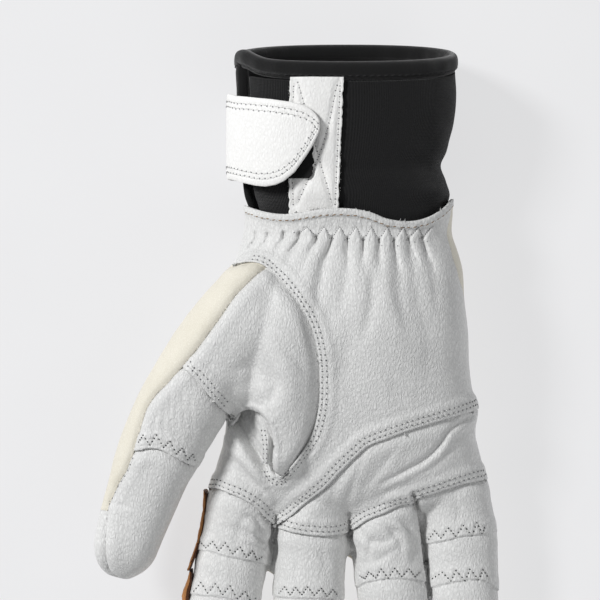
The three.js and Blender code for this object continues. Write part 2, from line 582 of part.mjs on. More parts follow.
// White leather strip down the cuff, and the hook tab that the strap closes on
function cuffLayer(inner, thick, outline) {
  const layer = cuffForm(inner + thick, CUFF_SIDES, 0).subtract(cuffForm(inner, CUFF_SIDES, 3));
  return layer.intersect(prism(outline, 30));
}
const leatherEdge = prism([...WRIST_EDGE.map(([x, y]) => [x, y + GAP]), [75, 40], [-40, 40]]);
put("cuff_strip", cuffLayer(GAP, 1.1, CUFF_STRIP_OUTLINE).subtract(leatherEdge), WHITE_LEATHER);
put("hook_tab", cuffLayer(GAP + 1.1 + GAP, 1.2, HOOK_TAB_OUTLINE), HOOK_TAPE);

// Strap: a band round the cuff, cut to its rounded outline
const strapRow = { ...CUFF_ROWS[2], palmY: 100, backY: 100, right: 59.8 };
const strapLine = (extra) =>
  STRAP_PATH.map(({ angle, stand }) => cuffPoint(strapRow, THREE.MathUtils.degToRad(angle), stand + extra));
const strapShape = new THREE.Shape(
  [...strapLine(STRAP_THICK), ...strapLine(0).reverse()].map((p) => new THREE.Vector2(p.x, Math.max(0.2, p.z))),
);
const strapBlock = new THREE.ExtrudeGeometry(strapShape, { depth: 50, bevelEnabled: false });
strapBlock.rotateX(Math.PI / 2).translate(0, 125, 0);
put("strap", solid(strapBlock).intersect(prism(STRAP_OUTLINE)), WHITE_LEATHER);

export default group;
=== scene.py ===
"""A right-hand cross-country ski glove, lying on its back with its palm up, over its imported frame.

Lengths are in millimetres while a piece is being made, and turn to metres when it is finished.
"""

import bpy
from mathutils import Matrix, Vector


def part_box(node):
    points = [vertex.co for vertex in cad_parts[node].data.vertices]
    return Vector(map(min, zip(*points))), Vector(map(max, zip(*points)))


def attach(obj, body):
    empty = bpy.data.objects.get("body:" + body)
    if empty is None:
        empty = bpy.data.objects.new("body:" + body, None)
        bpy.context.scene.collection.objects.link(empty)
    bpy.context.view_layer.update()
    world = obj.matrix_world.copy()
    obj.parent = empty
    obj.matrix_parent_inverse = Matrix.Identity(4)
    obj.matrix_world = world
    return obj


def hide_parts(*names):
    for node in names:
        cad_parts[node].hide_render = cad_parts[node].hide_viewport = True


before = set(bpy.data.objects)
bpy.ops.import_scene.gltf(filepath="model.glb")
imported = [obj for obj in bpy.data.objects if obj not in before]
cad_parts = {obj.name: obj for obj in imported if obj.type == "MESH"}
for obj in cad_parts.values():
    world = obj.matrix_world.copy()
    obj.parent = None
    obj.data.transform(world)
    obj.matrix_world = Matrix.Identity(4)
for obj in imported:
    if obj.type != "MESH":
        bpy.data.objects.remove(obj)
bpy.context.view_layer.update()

import logging
import math
from dataclasses import dataclass
from enum import Enum
from typing import Sequence

import bmesh
import bpy
import numpy as np
from mathutils import Matrix, Vector
from mathutils.bvhtree import BVHTree

LOG = logging.getLogger("glove")
MM = 0.001
SQUARENESS = 2.3  # 2 would make the hand's and the cuff's sections plain ovals
CHUNK = 4000  # how many points are measured against a line at a time

Line = Sequence[tuple[float, float]]


@dataclass(frozen=True)
class HandRow:
    """Where the hand's sides, back and palm stand at one length."""

    y: float
    left: float
    right: float
    back: float
    palm: float


@dataclass(frozen=True)
class LimbRow:
    """A place on a finger's centre line, with its half width and half height there."""

    x: float
    y: float
    z: float
    w: float
    h: float


@dataclass(frozen=True)
class CuffRow:
    """One ring of the cuff: its lean is the step between palm_y and back_y."""

    palm_y: float
    back_y: float
    left: float
    right: float
    back: float
    palm: float


@dataclass(frozen=True)
class Fold:
    """A crease in the leather along a line seen from above, with a soft lip to the right of its run."""

    line: Line
    depth: float
    reach: float
    lip: float = 0.4


HAND_ROWS = (
    HandRow(82, -22, 61, 1.5, 55.5),
    HandRow(70, -21.8, 60, 1.2, 53.2),
    HandRow(63, -22.3, 59.8, 0.8, 51.2),
    HandRow(57, -24, 61.8, 0.3, 52.8),
    HandRow(50, -26, 63.8, -0.6, 54.6),
    HandRow(38, -26.5, 64.8, -1.4, 55.4),
    HandRow(25, -27, 66.3, -1.6, 54.4),
    HandRow(10, -28, 67, -1.6, 51.4),
    HandRow(0, -28.5, 68.6, -1.4, 49.4),
    HandRow(-5, -28.8, 70.1, -1.2, 48.3),
    HandRow(-12, -29, 69.2, -0.8, 46.6),
    HandRow(-20, -30, 69.3, 0, 44.6),
    HandRow(-28, -31.6, 71.2, 0.9, 42),
    HandRow(-36, -32, 72.4, 2.2, 38.4),
    HandRow(-42, -27.5, 68, 4.4, 34.2),
    HandRow(-46.5, -19, 55, 9, 29),
)
THUMB = (
    LimbRow(-8, 50, 33, 13, 15),
    LimbRow(-20, 32, 37, 18.2, 19.5),
    LimbRow(-38, 9.5, 35, 17.6, 18),
    LimbRow(-50, -12, 32.5, 17, 16.5),
    LimbRow(-57.5, -27.5, 31, 15.5, 15.2),
    LimbRow(-63.5, -44, 30.5, 13.9, 14),
    LimbRow(-68, -58, 31, 12.6, 12.6),
    LimbRow(-71.5, -71.5, 32, 11.4, 11),
)
THENAR = (
    LimbRow(-9, 49, 38, 9, 11),
    LimbRow(-7, 35, 38, 13.5, 17.8),
    LimbRow(-6, 15, 37.5, 15, 19.3),
    LimbRow(-6, 0, 36.5, 14.5, 17.8),
    LimbRow(-6.2, -15, 34.5, 11.5, 15.5),
    LimbRow(-8.5, -33.5, 31, 9, 12),
)
WEB = (
    LimbRow(-13, 46, 36, 9, 12),
    LimbRow(-20, 31, 36.5, 12, 18.5),
    LimbRow(-24, 15, 35, 11.5, 18),
    LimbRow(-25, -7, 30.5, 8.5, 11),
)
INDEX_CROTCH = (
    LimbRow(-10.4, -36, 14, 5, 9),
    LimbRow(-10.8, -50, 13, 4, 8),
    LimbRow(-11.2, -72, 12, 3, 6),
)
MIDDLE_CROTCH = (
    LimbRow(19.3, -38, 12, 5, 8),
    LimbRow(19.8, -54, 11, 3.6, 8),
    LimbRow(20.1, -66, 11, 2.6, 6),
)
FINGERS = {
    "index": (
        LimbRow(-17, -24, 21, 13.5, 15.5),
        LimbRow(-22.5, -42, 18.5, 14.3, 15),
        LimbRow(-26.2, -58.6, 17, 14.2, 14),
        LimbRow(-29.4, -79, 17.5, 14.2, 13.8),
        LimbRow(-33.6, -100, 20.5, 13.8, 13),
        LimbRow(-36.6, -116, 25, 13, 12),
        LimbRow(-38.6, -128, 30, 11.8, 11),
    ),
    "middle": (
        LimbRow(7, -24, 21, 13.5, 15.5),
        LimbRow(5, -45, 18.5, 14.2, 15),
        LimbRow(4.5, -60, 17, 14.1, 14),
        LimbRow(3.5, -80, 17.5, 14, 13.8),
        LimbRow(2.4, -102, 20.5, 13.6, 13),
        LimbRow(1.5, -122, 25.5, 12.8, 12),
        LimbRow(0.8, -138, 32, 11.8, 11),
    ),
    "ring": (
        LimbRow(30, -24, 20, 13.5, 15.5),
        LimbRow(33.5, -45, 18, 14.4, 15),
        LimbRow(34.7, -60, 16.8, 14.7, 14),
        LimbRow(36.9, -80, 17.3, 14.1, 13.6),
        LimbRow(38, -100, 20.5, 13.2, 12.8),
        LimbRow(39, -118, 25.5, 12.4, 11.8),
        LimbRow(39.6, -132, 31, 11.4, 10.8),
    ),
    "little": (
        LimbRow(55, -16, 20, 13, 15.5),
        LimbRow(60.6, -36, 17.5, 13.6, 14.5),
        LimbRow(63.5, -54, 16, 14.3, 13.8),
        LimbRow(64.8, -80, 17, 13.8, 13),
        LimbRow(66.4, -96, 20.5, 12.4, 12),
        LimbRow(67.2, -111, 26, 11, 10.5),
    ),
}
CUFF_ROWS = (
    CuffRow(121.3, 131.7, -24.3, 60.6, 2.6, 57),
    CuffRow(113.6, 121.2, -24.4, 61, 2.5, 56.4),
    CuffRow(103.6, 108.2, -24.1, 60, 2.4, 54.6),
    CuffRow(94, 96, -23.4, 57.6, 2.4, 52.8),
    CuffRow(88.5, 89.5, -22.9, 56.1, 2.6, 51.8),
    CuffRow(83.5, 83.5, -22.6, 57.6, 2.5, 52),
    CuffRow(78.8, 78, -21.8, 59.2, 2.6, 51.8),
    CuffRow(74, 72, -20.2, 57.4, 4.4, 50),
    CuffRow(63.5, 58, -19.2, 56.6, 4.2, 48),
)

# Outlines seen from above
WRIST_EDGE = (
    (-40, 82), (-26, 76), (-20.7, 73.7), (-16.4, 72.1), (-11.7, 70.9), (-5.9, 70.3), (0, 70.9), (7.8, 72.1),
    (15.6, 72.5), (21.5, 72.1), (27.3, 70.9), (33.2, 68.6), (39, 67.6), (44.9, 67.8), (50.7, 69.6), (55.4, 72.5),
    (60.5, 77.2), (75, 84),
)
BACK_EDGE = ((-40, 61), (-22, 61), (0, 58.5), (30, 60.5), (48, 67), (58, 75), (75, 84))
THUMB_ARC = (
    (-34, 48.6), (-30, 49.6), (-26, 50.6), (-20.5, 51.6), (-15.6, 51), (-10.8, 47.8), (-5.9, 42.9), (0, 35.1),
    (4.7, 25.3), (7, 15.6), (7.6, 5.8), (7, -5.9), (4.3, -15.7), (-0.4, -23.5), (-5, -29), (-8.2, -32),
)
RECESS = (
    (-8.2, -32), (-9.8, -29.8), (-10.7, -26.6), (-10.7, -23.2), (-10.7, -18.4), (-11.6, -14.2), (-13.4, -10),
    (-15.8, -7.3), (-18.1, -6.2), (-21.1, -6.1), (-23.5, -7.1), (-25.6, -9.4), (-26.8, -12),
)
RECESS_BRINK = (
    (-28.4, -9.5), (-26.7, -13), (-22.9, -18.9), (-19, -24.7), (-15.8, -29.2), (-12.6, -34), (-10.2, -35.4),
    (-7.6, -33.4),
)
UNDER_LIP = (
    (-8.2, -31.4), (-7.4, -27), (-6.9, -22), (-7.2, -15), (-9.4, -9.6), (-13.4, -5), (-18.2, -3), (-23, -3.9),
    (-26.6, -6.6), (-28.4, -10),
)
THUMB_SIDE = ((-26.8, -12), (-33, -22), (-39, -33), (-46, -60), (-54, -100))
THUMB_SEAM = (
    (-58, 21.5), (-52, 16.5), (-46, 11.5), (-41.9, 8), (-38.9, 4.6), (-34.2, -1.1), (-29.4, -6.3), (-25.8, -9.3),
    (-20, -14),
)
THUMB_TUCK = (
    (-72, -20), (-63.3, -21.5), (-58, -20.6), (-54.5, -21), (-49.1, -23.8), (-44.1, -26.5), (-40.3, -28.4), (-34, -33),
)
TUCK_TEETH = (
    (-62.6, -18.2), (-60.8, -15.5), (-58.2, -19.2), (-55.6, -15.3), (-52.9, -20.1), (-50.3, -17.8), (-48, -22.6),
    (-45.8, -20.5), (-43.7, -25), (-41.7, -22.9), (-40.6, -26.6),
)
THUMB_BACK_EDGE = (
    (-9, 54.5), (-13.7, 49.8), (-23.4, 40.8), (-33.2, 27.3), (-42.9, 14.4), (-51.2, 5.4), (-56.7, -0.1), (-60.1, -5.1),
    (-61.8, -10.2), (-63.8, -17.6), (-65.6, -23.8), (-68, -29.3), (-71, -34), (-73.7, -39.6), (-75.2, -43),
    (-76, -48.8), (-76.5, -57), (-76.2, -64.4), (-74.9, -69.1), (-71.5, -72), (-70, -80),
)
PATCH_EDGE = (
    (82, -2), (74.9, -4), (70.6, -5.5), (54.9, -9.9), (42.4, -13.7), (33.9, -16.8), (26.3, -19.9), (21.5, -24.2),
    (15.9, -29.7), (10.3, -35.9), (3.4, -41.5), (-4.3, -48.5), (-9.9, -52.9),
)
INDEX_ROOT = (
    (-48, -37.5), (-36.7, -37.7), (-32.8, -37.2), (-27.6, -38.8), (-21.8, -41.4), (-16.7, -45), (-13.5, -48.7),
    (-9.9, -52.9),
)
FINGER_ROOTS = (
    (-9.9, -52.9), (-6.4, -53.4), (-0.8, -54.5), (6.1, -55.4), (14.4, -55.4), (19, -54.5), (26.9, -49.2),
    (33.9, -46.1), (38.8, -43.7), (44.5, -42.2), (46.4, -40.8), (52.7, -38.7), (63.2, -35.5), (82, -33),
)
BETWEEN = {
    "index": ((-10.4, -40), (-10.6, -60), (-16, -100), (-20, -145)),
    "middle": ((19.2, -40), (19.8, -60), (20.2, -100), (20.6, -145)),
    "ring": ((45, -30), (45.2, -42), (46.3, -47), (47.5, -53), (48.8, -60), (51.2, -80), (52.6, -100), (54, -145)),
    "little": ((110, -30), (110, -145)),
}
BACK_TOP_THUMB_SIDE = (
    (84, 20), (60, 20), (40, 17), (0, 16), (-30, 16), (-60, 14.5), (-80, 14.5), (-100, 17), (-116, 21.5),
    (-130, 26), (-142, 30),
)
BACK_TOP_LITTLE_SIDE = (
    (84, 33), (74, 34), (60, 37), (53, 39.5), (45, 38), (38, 31), (30, 23), (20, 19), (0, 16.5), (-30, 16),
    (-60, 14.5), (-80, 14.5), (-100, 17), (-116, 21.5), (-142, 30),
)
FOLDS = (
    Fold(((32, -34.8), (39, -31.3), (45.6, -27.7), (50.7, -23.8), (55.5, -18.8), (58.3, -14.9), (63.2, -11.2),
          (66.5, -9), (70.5, -7.4)), 1.35, 1.0, 0.5),
    Fold(((44, -32), (51, -28), (58, -23), (66, -19.5)), 0.3, 1.5, 0.3),
    Fold(((26, -36.7), (31, -29.5), (38, -20.3)), 0.4, 1.2, 0.5),
    Fold(((18.9, -46.9), (21, -35), (25.4, -21.9)), 0.4, 1.2, 0.5),
    Fold(((12, -43), (14.5, -36), (19, -29)), 0.5, 1.5, 0.4),
    Fold(((30, -42), (36, -37.5), (44, -34.5)), 0.6, 1.8, 0.4),
    Fold(((-24.2, -15.3), (-16, -27), (-12.5, -33.2)), 1.9, 1.9, 0.3),
    Fold(((-29.3, -16.8), (-20.7, -28.1), (-14.8, -35.2), (-11.3, -41.8)), -1.3, 1.5, 0.0),
    Fold(((-28, -24), (-23, -32), (-18, -38)), 0.9, 2.0, 0.2),
    Fold(((-10.2, -51.5), (-10.5, -58), (-10.9, -66)), 4.5, 1.1, 0.0),
    Fold(((-17.2, -58.2), (-14.2, -60.6), (-11.6, -59)), 0.9, 0.8, 0.3),
    Fold(((-22.4, -54.2), (-17.5, -56), (-12.6, -58.2)), 1.3, 1.0, 0.7),
    Fold(((44.4, -38), (46.2, -46.5), (47.5, -53), (48.9, -60.5), (51.2, -80)), 6.0, 0.75, 0.0),
    Fold(((19.3, -50), (19.9, -60), (20.3, -70)), 5.0, 0.8, 0.0),
    Fold(((29.5, -56), (27, -60.5), (26.4, -66)), 0.6, 0.9, 0.4),
    Fold(((33, -52), (37.5, -55.5), (40, -61)), 0.7, 1.0, 0.4),
    Fold(((35, -49.5), (40, -51), (43.5, -54.5)), 0.5, 0.8, 0.4),
    Fold(((8.6, 53), (7, 44), (5.5, 33)), 0.95, 2.1, 0.3),
    Fold(((18.4, 52), (16.4, 42), (15, 32)), 0.6, 1.9, 0.3),
    Fold(((27.5, 52), (27.3, 38), (24.5, 23)), 1.05, 2.5, 0.3),
    Fold(((36, 52), (38.5, 38), (42, 24)), 0.75, 2.3, 0.3),
    Fold(((50, 54), (52, 44), (54, 32)), 0.6, 2.0, 0.3),
    Fold(((22, 48), (19.5, 28), (17, 5)), 0.8, 4.5),
    Fold(((46, 45), (49, 26), (52, 8)), 0.8, 4.5),
    Fold(((33, 10), (38, 2), (47, -3)), 0.35, 3.0),
    Fold(((-16.4, -3.4), (-11.4, -1), (-9.8, 3), (-11.6, 8), (-13.7, 15)), 2.0, 3.2, 0.35),
    Fold(((-22, 16), (-16.5, 7), (-12.5, 1)), 0.7, 3.0, 0.2),
    Fold(((-9, 20), (-2, 14), (4, 8)), 0.45, 1.2),
    Fold(((0, 30), (2.6, 24), (4.4, 17)), 0.35, 1.0),
    Fold(((-30, 12), (-26, 10), (-21, 11)), 0.4, 1.6),
    Fold(((-49.5, -14), (-50.5, -7), (-49.6, 1)), 0.55, 0.9),
    Fold(((-47, -15), (-48, -8), (-47.2, 0)), 0.55, 0.9),
    Fold(((-52.2, -15), (-53, -9), (-52.2, -3)), 0.5, 0.9),
    Fold(((-44.5, -14), (-45.4, -6), (-44.6, 2)), 0.45, 0.9),
    Fold(((-42, -13), (-42.8, -7), (-41.8, 0)), 0.35, 0.9),
    Fold(((-57, -16), (-56.4, -10), (-54.6, -5)), 0.35, 0.9),
    Fold(((-73, -41.8), (-70, -42.6), (-66.7, -43.3)), 0.6, 1.0, 0.5),
    Fold(((-21, -47.5), (-16.5, -50), (-15.5, -54), (-13.5, -58)), 1.7, 1.3, 0.6),
    Fold(((-30, -52), (-20, -54), (-13, -59)), 0.5, 1.4, 0.3),
    Fold(((-20, -45), (-24, -52), (-25, -60)), 0.4, 1.6, 0.3),
    Fold(((-2, -58), (-1, -64), (-2, -73)), 0.35, 1.4, 0.3),
    Fold(((8, -58), (9, -66), (8, -73)), 0.35, 1.4, 0.3),
    Fold(((24, -54), (28, -57.5), (33, -58), (38, -54)), 0.7, 1.3, 0.5),
    Fold(((40, -49), (43.5, -54), (45.5, -60), (45, -66)), 0.9, 1.3, 0.5),
    Fold(((27, -66), (32, -64.5), (37, -61)), 0.5, 1.2, 0.4),
    Fold(((33, -51), (36, -54), (37, -59)), 0.4, 1.2, 0.3),
    Fold(((60, -38), (62, -44), (62, -51)), 0.4, 1.5, 0.3),
)
ELASTIC = (
    (-0.4, 62.6), (2.8, 65.1), (6.2, 61.4), (9.3, 65.1), (12.3, 61), (15.4, 65.1), (18.2, 60.8), (21.8, 65.1),
    (24.5, 60.2), (27.7, 65.1), (30.5, 60.2), (33.8, 65.1), (36.3, 60.2), (40.2, 65.1), (42, 60.8), (46.1, 65.1),
    (47.5, 61.4), (50.9, 65.1),
)


@dataclass(frozen=True)
class Low:
    """A low stitch of the wrist's elastic, and how much of a full gather starts at it."""

    x: float
    y: float
    share: float = 1.0


LOWS = (Low(-17.5, 63, 0.4), Low(-12.6, 62.5, 0.6), Low(-6.4, 62.8, 0.8), *(Low(x, y) for x, y in ELASTIC[::2]))


@dataclass(frozen=True)
class DoubleRow:
    """Two rows of stitches beside a seam: the side, their insets, and the span of the seam that they cover."""

    seam: str
    side: int
    insets: tuple[float, float]
    first: float = 0.0
    last: float = 1e9


DOUBLE_ROWS = (
    DoubleRow("arc", 1, (1.1, 3.0), first=9),
    DoubleRow("patch", -1, (1.7, 3.5)),
    DoubleRow("index_root", 1, (1.7, 3.7), first=12),
    DoubleRow("finger_roots", 1, (2.1, 4.1)),
    DoubleRow("thumb_seam", 1, (2.0, 4.0), first=16, last=42),
)


@dataclass(frozen=True)
class Band:
    """A lapped step across a finger, with the zigzag sewn above it."""

    finger: str
    edge: Line
    zigzag: Line

    def moved(self, x: float, y: float) -> "Band":
        """The same band further along the finger."""
        edge, zigzag = (tuple((a + x, b + y) for a, b in line) for line in (self.edge, self.zigzag))
        return Band(self.finger, edge, zigzag)


INDEX_BAND = Band(
    "index",
    ((-47, -61.5), (-38.1, -61.7), (-34.9, -62), (-31.3, -63.2), (-27.1, -64), (-22.9, -64.9), (-18.7, -65.8),
     (-15.8, -66.7), (-11, -68.8)),
    ((-39.5, -58.2), (-37, -60.5), (-34.3, -58.1), (-31.9, -61.4), (-29.3, -58.4), (-26.5, -62.6), (-23.5, -60.1),
     (-21.1, -64), (-18.7, -61.7), (-17, -65.2), (-14.3, -63.8)),
)
INDEX_LOWER_BAND = Band(
    "index",
    ((-49, -79), (-43, -79.2), (-36, -79.3), (-30, -79.9), (-24, -81.6), (-12, -85)),
    ((-41.8, -77.8), (-39, -74.2), (-36.2, -78.1), (-33.2, -74.5), (-30.3, -78.6), (-27.5, -75.3), (-24.6, -80.3),
     (-21.6, -77.7), (-18.8, -82.6), (-17, -79.5)),
)
MIDDLE_BAND = Band(
    "middle",
    ((-14, -80), (-6, -80.1), (0, -80.2), (8, -80.3), (13, -80.9), (22, -82)),
    ((-8.2, -78.6), (-6, -75.9), (-3.8, -78.9), (-1.7, -76), (0.7, -78.7), (3, -75.7), (5.7, -78.9), (8.4, -76.3),
     (10.6, -79.4), (12.9, -77), (15, -79.8)),
)
RING_BAND = Band(
    "ring",
    ((17, -79), (22.2, -76.8), (25.5, -74.6), (30.9, -73), (37.5, -72.4), (42.9, -72.8), (46.3, -73.5), (53, -75.6)),
    ((23.8, -71.9), (25.7, -72.7), (27.1, -70), (29.8, -72.2), (31.9, -68.7), (34.7, -72.2), (37.2, -68.5),
     (39.9, -71.6), (42.9, -68.9), (45.2, -71.9), (47.5, -69.7)),
)
LITTLE_BAND = Band(
    "little",
    ((46, -61), (49.5, -59.6), (53.9, -58.5), (59.4, -57.1), (63.2, -56), (67.6, -55.5), (76.9, -54.7), (84, -54.6)),
    ((50.9, -57.4), (53.1, -54.1), (55.5, -56.6), (58.4, -52.7), (61.2, -55.8), (64.2, -51.6), (67.6, -55.7),
     (69.5, -50.6), (71.6, -54.8), (73, -51.6)),
)
LITTLE_LOWER_BAND = Band(
    "little",
    ((47, -79), (51.7, -76.8), (56.1, -75.2), (63.2, -73.5), (70.3, -73), (74.1, -74.3), (77.4, -77.3), (82, -80)),
    ((52.3, -73), (56, -70.3), (59.4, -73.5), (61.3, -69.4), (64.9, -73.3), (66.8, -68.9), (70.3, -73), (72, -69.2),
     (74.5, -73)),
)
BANDS = (
    INDEX_BAND, INDEX_LOWER_BAND, INDEX_LOWER_BAND.moved(-3, -18), MIDDLE_BAND, MIDDLE_BAND.moved(-1, -19), RING_BAND,
    RING_BAND.moved(2, -19), LITTLE_BAND, LITTLE_LOWER_BAND, LITTLE_LOWER_BAND.moved(1, -16),
)


class Layer(Enum):
    """How a panel's leather is worked along a line of sewing."""

    OVER = "over"
    UNDER = "under"
    BUTT = "butt"
    STEP = "step"
    SEWN = "sewn"


# ---------------------------------------------------------------- reading tables and lines


def hermite(knots: np.ndarray, values: np.ndarray, at: np.ndarray) -> np.ndarray:
    """Reads a smooth curve through knots; values has one row for each knot.

    Args:
        knots: where the curve is given.
        values: the curve there, a row for each knot.
        at: where it is read.

    Returns:
        The curve, a row for each place.
    """
    slopes = np.gradient(values, knots, axis=0)
    i = np.clip(np.searchsorted(knots, at) - 1, 0, len(knots) - 2)
    span = (knots[i + 1] - knots[i])[:, None]
    t = np.clip((at - knots[i])[:, None] / span, -0.2, 1.2)
    return (
        (2 * t**3 - 3 * t**2 + 1) * values[i]
        + (t**3 - 2 * t**2 + t) * span * slopes[i]
        + (-2 * t**3 + 3 * t**2) * values[i + 1]
        + (t**3 - t**2) * span * slopes[i + 1]
    )


def columns(rows: Sequence, names: str) -> np.ndarray:
    """The named columns of a table of rows, as an array."""
    return np.array([[getattr(row, name) for name in names.split()] for row in rows], float)


def smooth_line(points: Sequence[Sequence[float]], step: float = 0.6) -> np.ndarray:
    """A smooth line through points, resampled at an even step.

    Args:
        points: the points it passes through.
        step: the distance from one new point to the next.

    Returns:
        The line's points.
    """
    given = np.array(points, float)
    chord = run_along(given)
    fine = hermite(chord, given, np.linspace(0, chord[-1], max(8, int(chord[-1] / step) * 4)))
    run = run_along(fine)
    even = np.linspace(0, run[-1], max(2, int(round(run[-1] / step)) + 1))
    return np.stack([np.interp(even, run, fine[:, k]) for k in range(fine.shape[1])], axis=1)


def lattice_noise(points: np.ndarray, scale: float, seed: int) -> np.ndarray:
    """Smooth noise from -1 to 1 at each point, with features about scale across.

    Args:
        points: where it is read.
        scale: the size of its features.
        seed: which noise it is.

    Returns:
        A value for each point.
    """
    cells = np.random.default_rng(seed).uniform(-1, 1, (32, 32, 32))
    at = points / scale + 1000
    low = np.floor(at).astype(int)
    f = at - low
    f = f * f * (3 - 2 * f)
    total = np.zeros(len(points))
    for corner in np.ndindex(2, 2, 2):
        weight = np.prod([f[:, k] if corner[k] else 1 - f[:, k] for k in range(3)], axis=0)
        i, j, k = ((low + corner) % 32).T
        total += weight * cells[i, j, k]
    return total


def run_along(points: np.ndarray) -> np.ndarray:
    """How far along a line each of its points is."""
    return np.concatenate([[0], np.cumsum(np.linalg.norm(np.diff(points, axis=0), axis=1))])


def headings(line: np.ndarray) -> np.ndarray:
    """The unit direction of a line at each of its points."""
    along = np.gradient(line, axis=0)
    return along / np.linalg.norm(along, axis=1)[:, None]


def around(sides: int) -> np.ndarray:
    """The angles of a ring's points."""
    return np.linspace(0, 2 * math.pi, sides, endpoint=False)


def rounded(angle: np.ndarray, wide: float, deep: float) -> tuple[np.ndarray, np.ndarray]:
    """A rounded box of half size 1 read at angles, as two coordinates; a smaller power is squarer."""
    c, s = np.cos(angle), np.sin(angle)
    return np.sign(c) * np.abs(c) ** wide, np.sign(s) * np.abs(s) ** deep


def oval(angle: np.ndarray) -> np.ndarray:
    """Points of a rounded-square oval of half size 1."""
    return np.stack(rounded(angle, 2 / SQUARENESS, 2 / SQUARENESS), axis=1)


def pulled_in(x: np.ndarray, y: np.ndarray) -> np.ndarray:
    """Where points stand across the palm's middle at x 24 once the elastic at y 60.8 has drawn them in."""
    return 24 + (x - 24) / (1 + 0.021 * np.maximum(0, 60.8 - y))


def beside_line(line: np.ndarray, xy: np.ndarray, reach: float) -> tuple[np.ndarray, np.ndarray, np.ndarray]:
    """Measures points seen from above against a line.

    Args:
        line: points along the line, close together.
        xy: the points to measure.
        reach: how far from the line points still count.

    Returns:
        The distance, positive to the left of the line's run, the share of its length, and how far beyond its ends;
        points out of reach get a distance of 1e3.
    """
    away, share, beyond = np.full(len(xy), 1e3), np.zeros(len(xy)), np.zeros(len(xy))
    low, high = line.min(axis=0) - reach, line.max(axis=0) + reach
    chosen = np.flatnonzero(((xy > low) & (xy < high)).all(axis=1))
    along = headings(line)
    for start in range(0, len(chosen), CHUNK):
        part = chosen[start:start + CHUNK]
        gap = xy[part][:, None] - line[None]
        near = (gap**2).sum(axis=2).argmin(axis=1)
        offset = xy[part] - line[near]
        off = along[near, 0] * offset[:, 1] - along[near, 1] * offset[:, 0]
        ahead = (offset * along[near]).sum(axis=1)
        away[part] = off
        share[part] = near / (len(line) - 1)
        past_end = np.where(near == len(line) - 1, np.maximum(0, ahead), 0)
        beyond[part] = np.where(near == 0, np.maximum(0, -ahead), past_end)
    return away, share, beyond


def smoothstep(value: np.ndarray, low: float, high: float) -> np.ndarray:
    """0 below low, 1 above high, and a smooth rise between."""
    t = np.clip((value - low) / (high - low), 0, 1)
    return t * t * (3 - 2 * t)


# ---------------------------------------------------------------- meshes


def skin(mesh: bmesh.types.BMesh, rings: Sequence[np.ndarray]) -> None:
    """Skins rings of points as one closed tube in mesh.

    Args:
        mesh: the bmesh that the tube is added to.
        rings: arrays of points, all with the same count.
    """
    loops = []
    for ring in rings:
        made = bmesh.ops.create_circle(mesh, cap_ends=False, radius=1, segments=len(ring))["verts"]
        for vertex, place in zip(made, ring):
            vertex.co = place
        # Kept in order, because a set of edges comes out in another order each run
        loops.append(list(dict.fromkeys(edge for vertex in made for edge in vertex.link_edges)))
    for first, second in zip(loops, loops[1:]):
        bmesh.ops.bridge_loops(mesh, edges=first + second)
    for end in (loops[0], loops[-1]):
        bmesh.ops.edgeloop_fill(mesh, edges=end)


def put(name: str, data: bpy.types.ID) -> bpy.types.Object:
    """Puts a mesh, a light or a camera in the scene.

    Args:
        name: the object's name.
        data: what it holds.

    Returns:
        The object.
    """
    made = bpy.data.objects.new(name, data)
    bpy.context.scene.collection.objects.link(made)
    return made


def mesh_of(made: bmesh.types.BMesh, name: str) -> bpy.types.Mesh:
    """Turns a bmesh into a mesh with its faces facing out, and frees it.

    Args:
        made: the bmesh.
        name: the mesh's name.

    Returns:
        The mesh.
    """
    bmesh.ops.recalc_face_normals(made, faces=made.faces)
    mesh = bpy.data.meshes.new(name)
    made.to_mesh(mesh)
    made.free()
    return mesh


def through(mesh: bpy.types.Mesh, *steps: tuple[str, dict]) -> bpy.types.Mesh:
    """Runs a mesh through a stack of modifiers and returns the result.

    Args:
        mesh: the mesh to start from.
        steps: pairs of a modifier's type and its settings.

    Returns:
        A new mesh with the modifiers applied.
    """
    holder = put("work", mesh)
    for kind, settings in steps:
        modifier = holder.modifiers.new(kind.lower(), kind)
        for key, value in settings.items():
            setattr(modifier, key, value)
    evaluated = holder.evaluated_get(bpy.context.evaluated_depsgraph_get())
    made = bpy.data.meshes.new_from_object(evaluated)
    bpy.data.objects.remove(holder)
    return made


def vectors_of(mesh: bpy.types.Mesh, what: str = "co") -> np.ndarray:
    """The mesh's points, or its vertex normals, as an array.

    Args:
        mesh: the mesh to read.
        what: co for points, normal for normals.

    Returns:
        A row for each vertex.
    """
    flat = np.empty(len(mesh.vertices) * 3)
    mesh.vertices.foreach_get(what, flat)
    return flat.reshape(-1, 3)


def move_points(mesh: bpy.types.Mesh, places: np.ndarray) -> None:
    """Puts the mesh's points at new places."""
    mesh.vertices.foreach_set("co", places.ravel())
    mesh.update()


def tree_of(mesh: bpy.types.Mesh) -> BVHTree:
    """A search tree over the mesh's faces.

    Args:
        mesh: the mesh.

    Returns:
        The tree.
    """
    made = bmesh.new()
    made.from_mesh(mesh)
    tree = BVHTree.FromBMesh(made)
    made.free()
    return tree


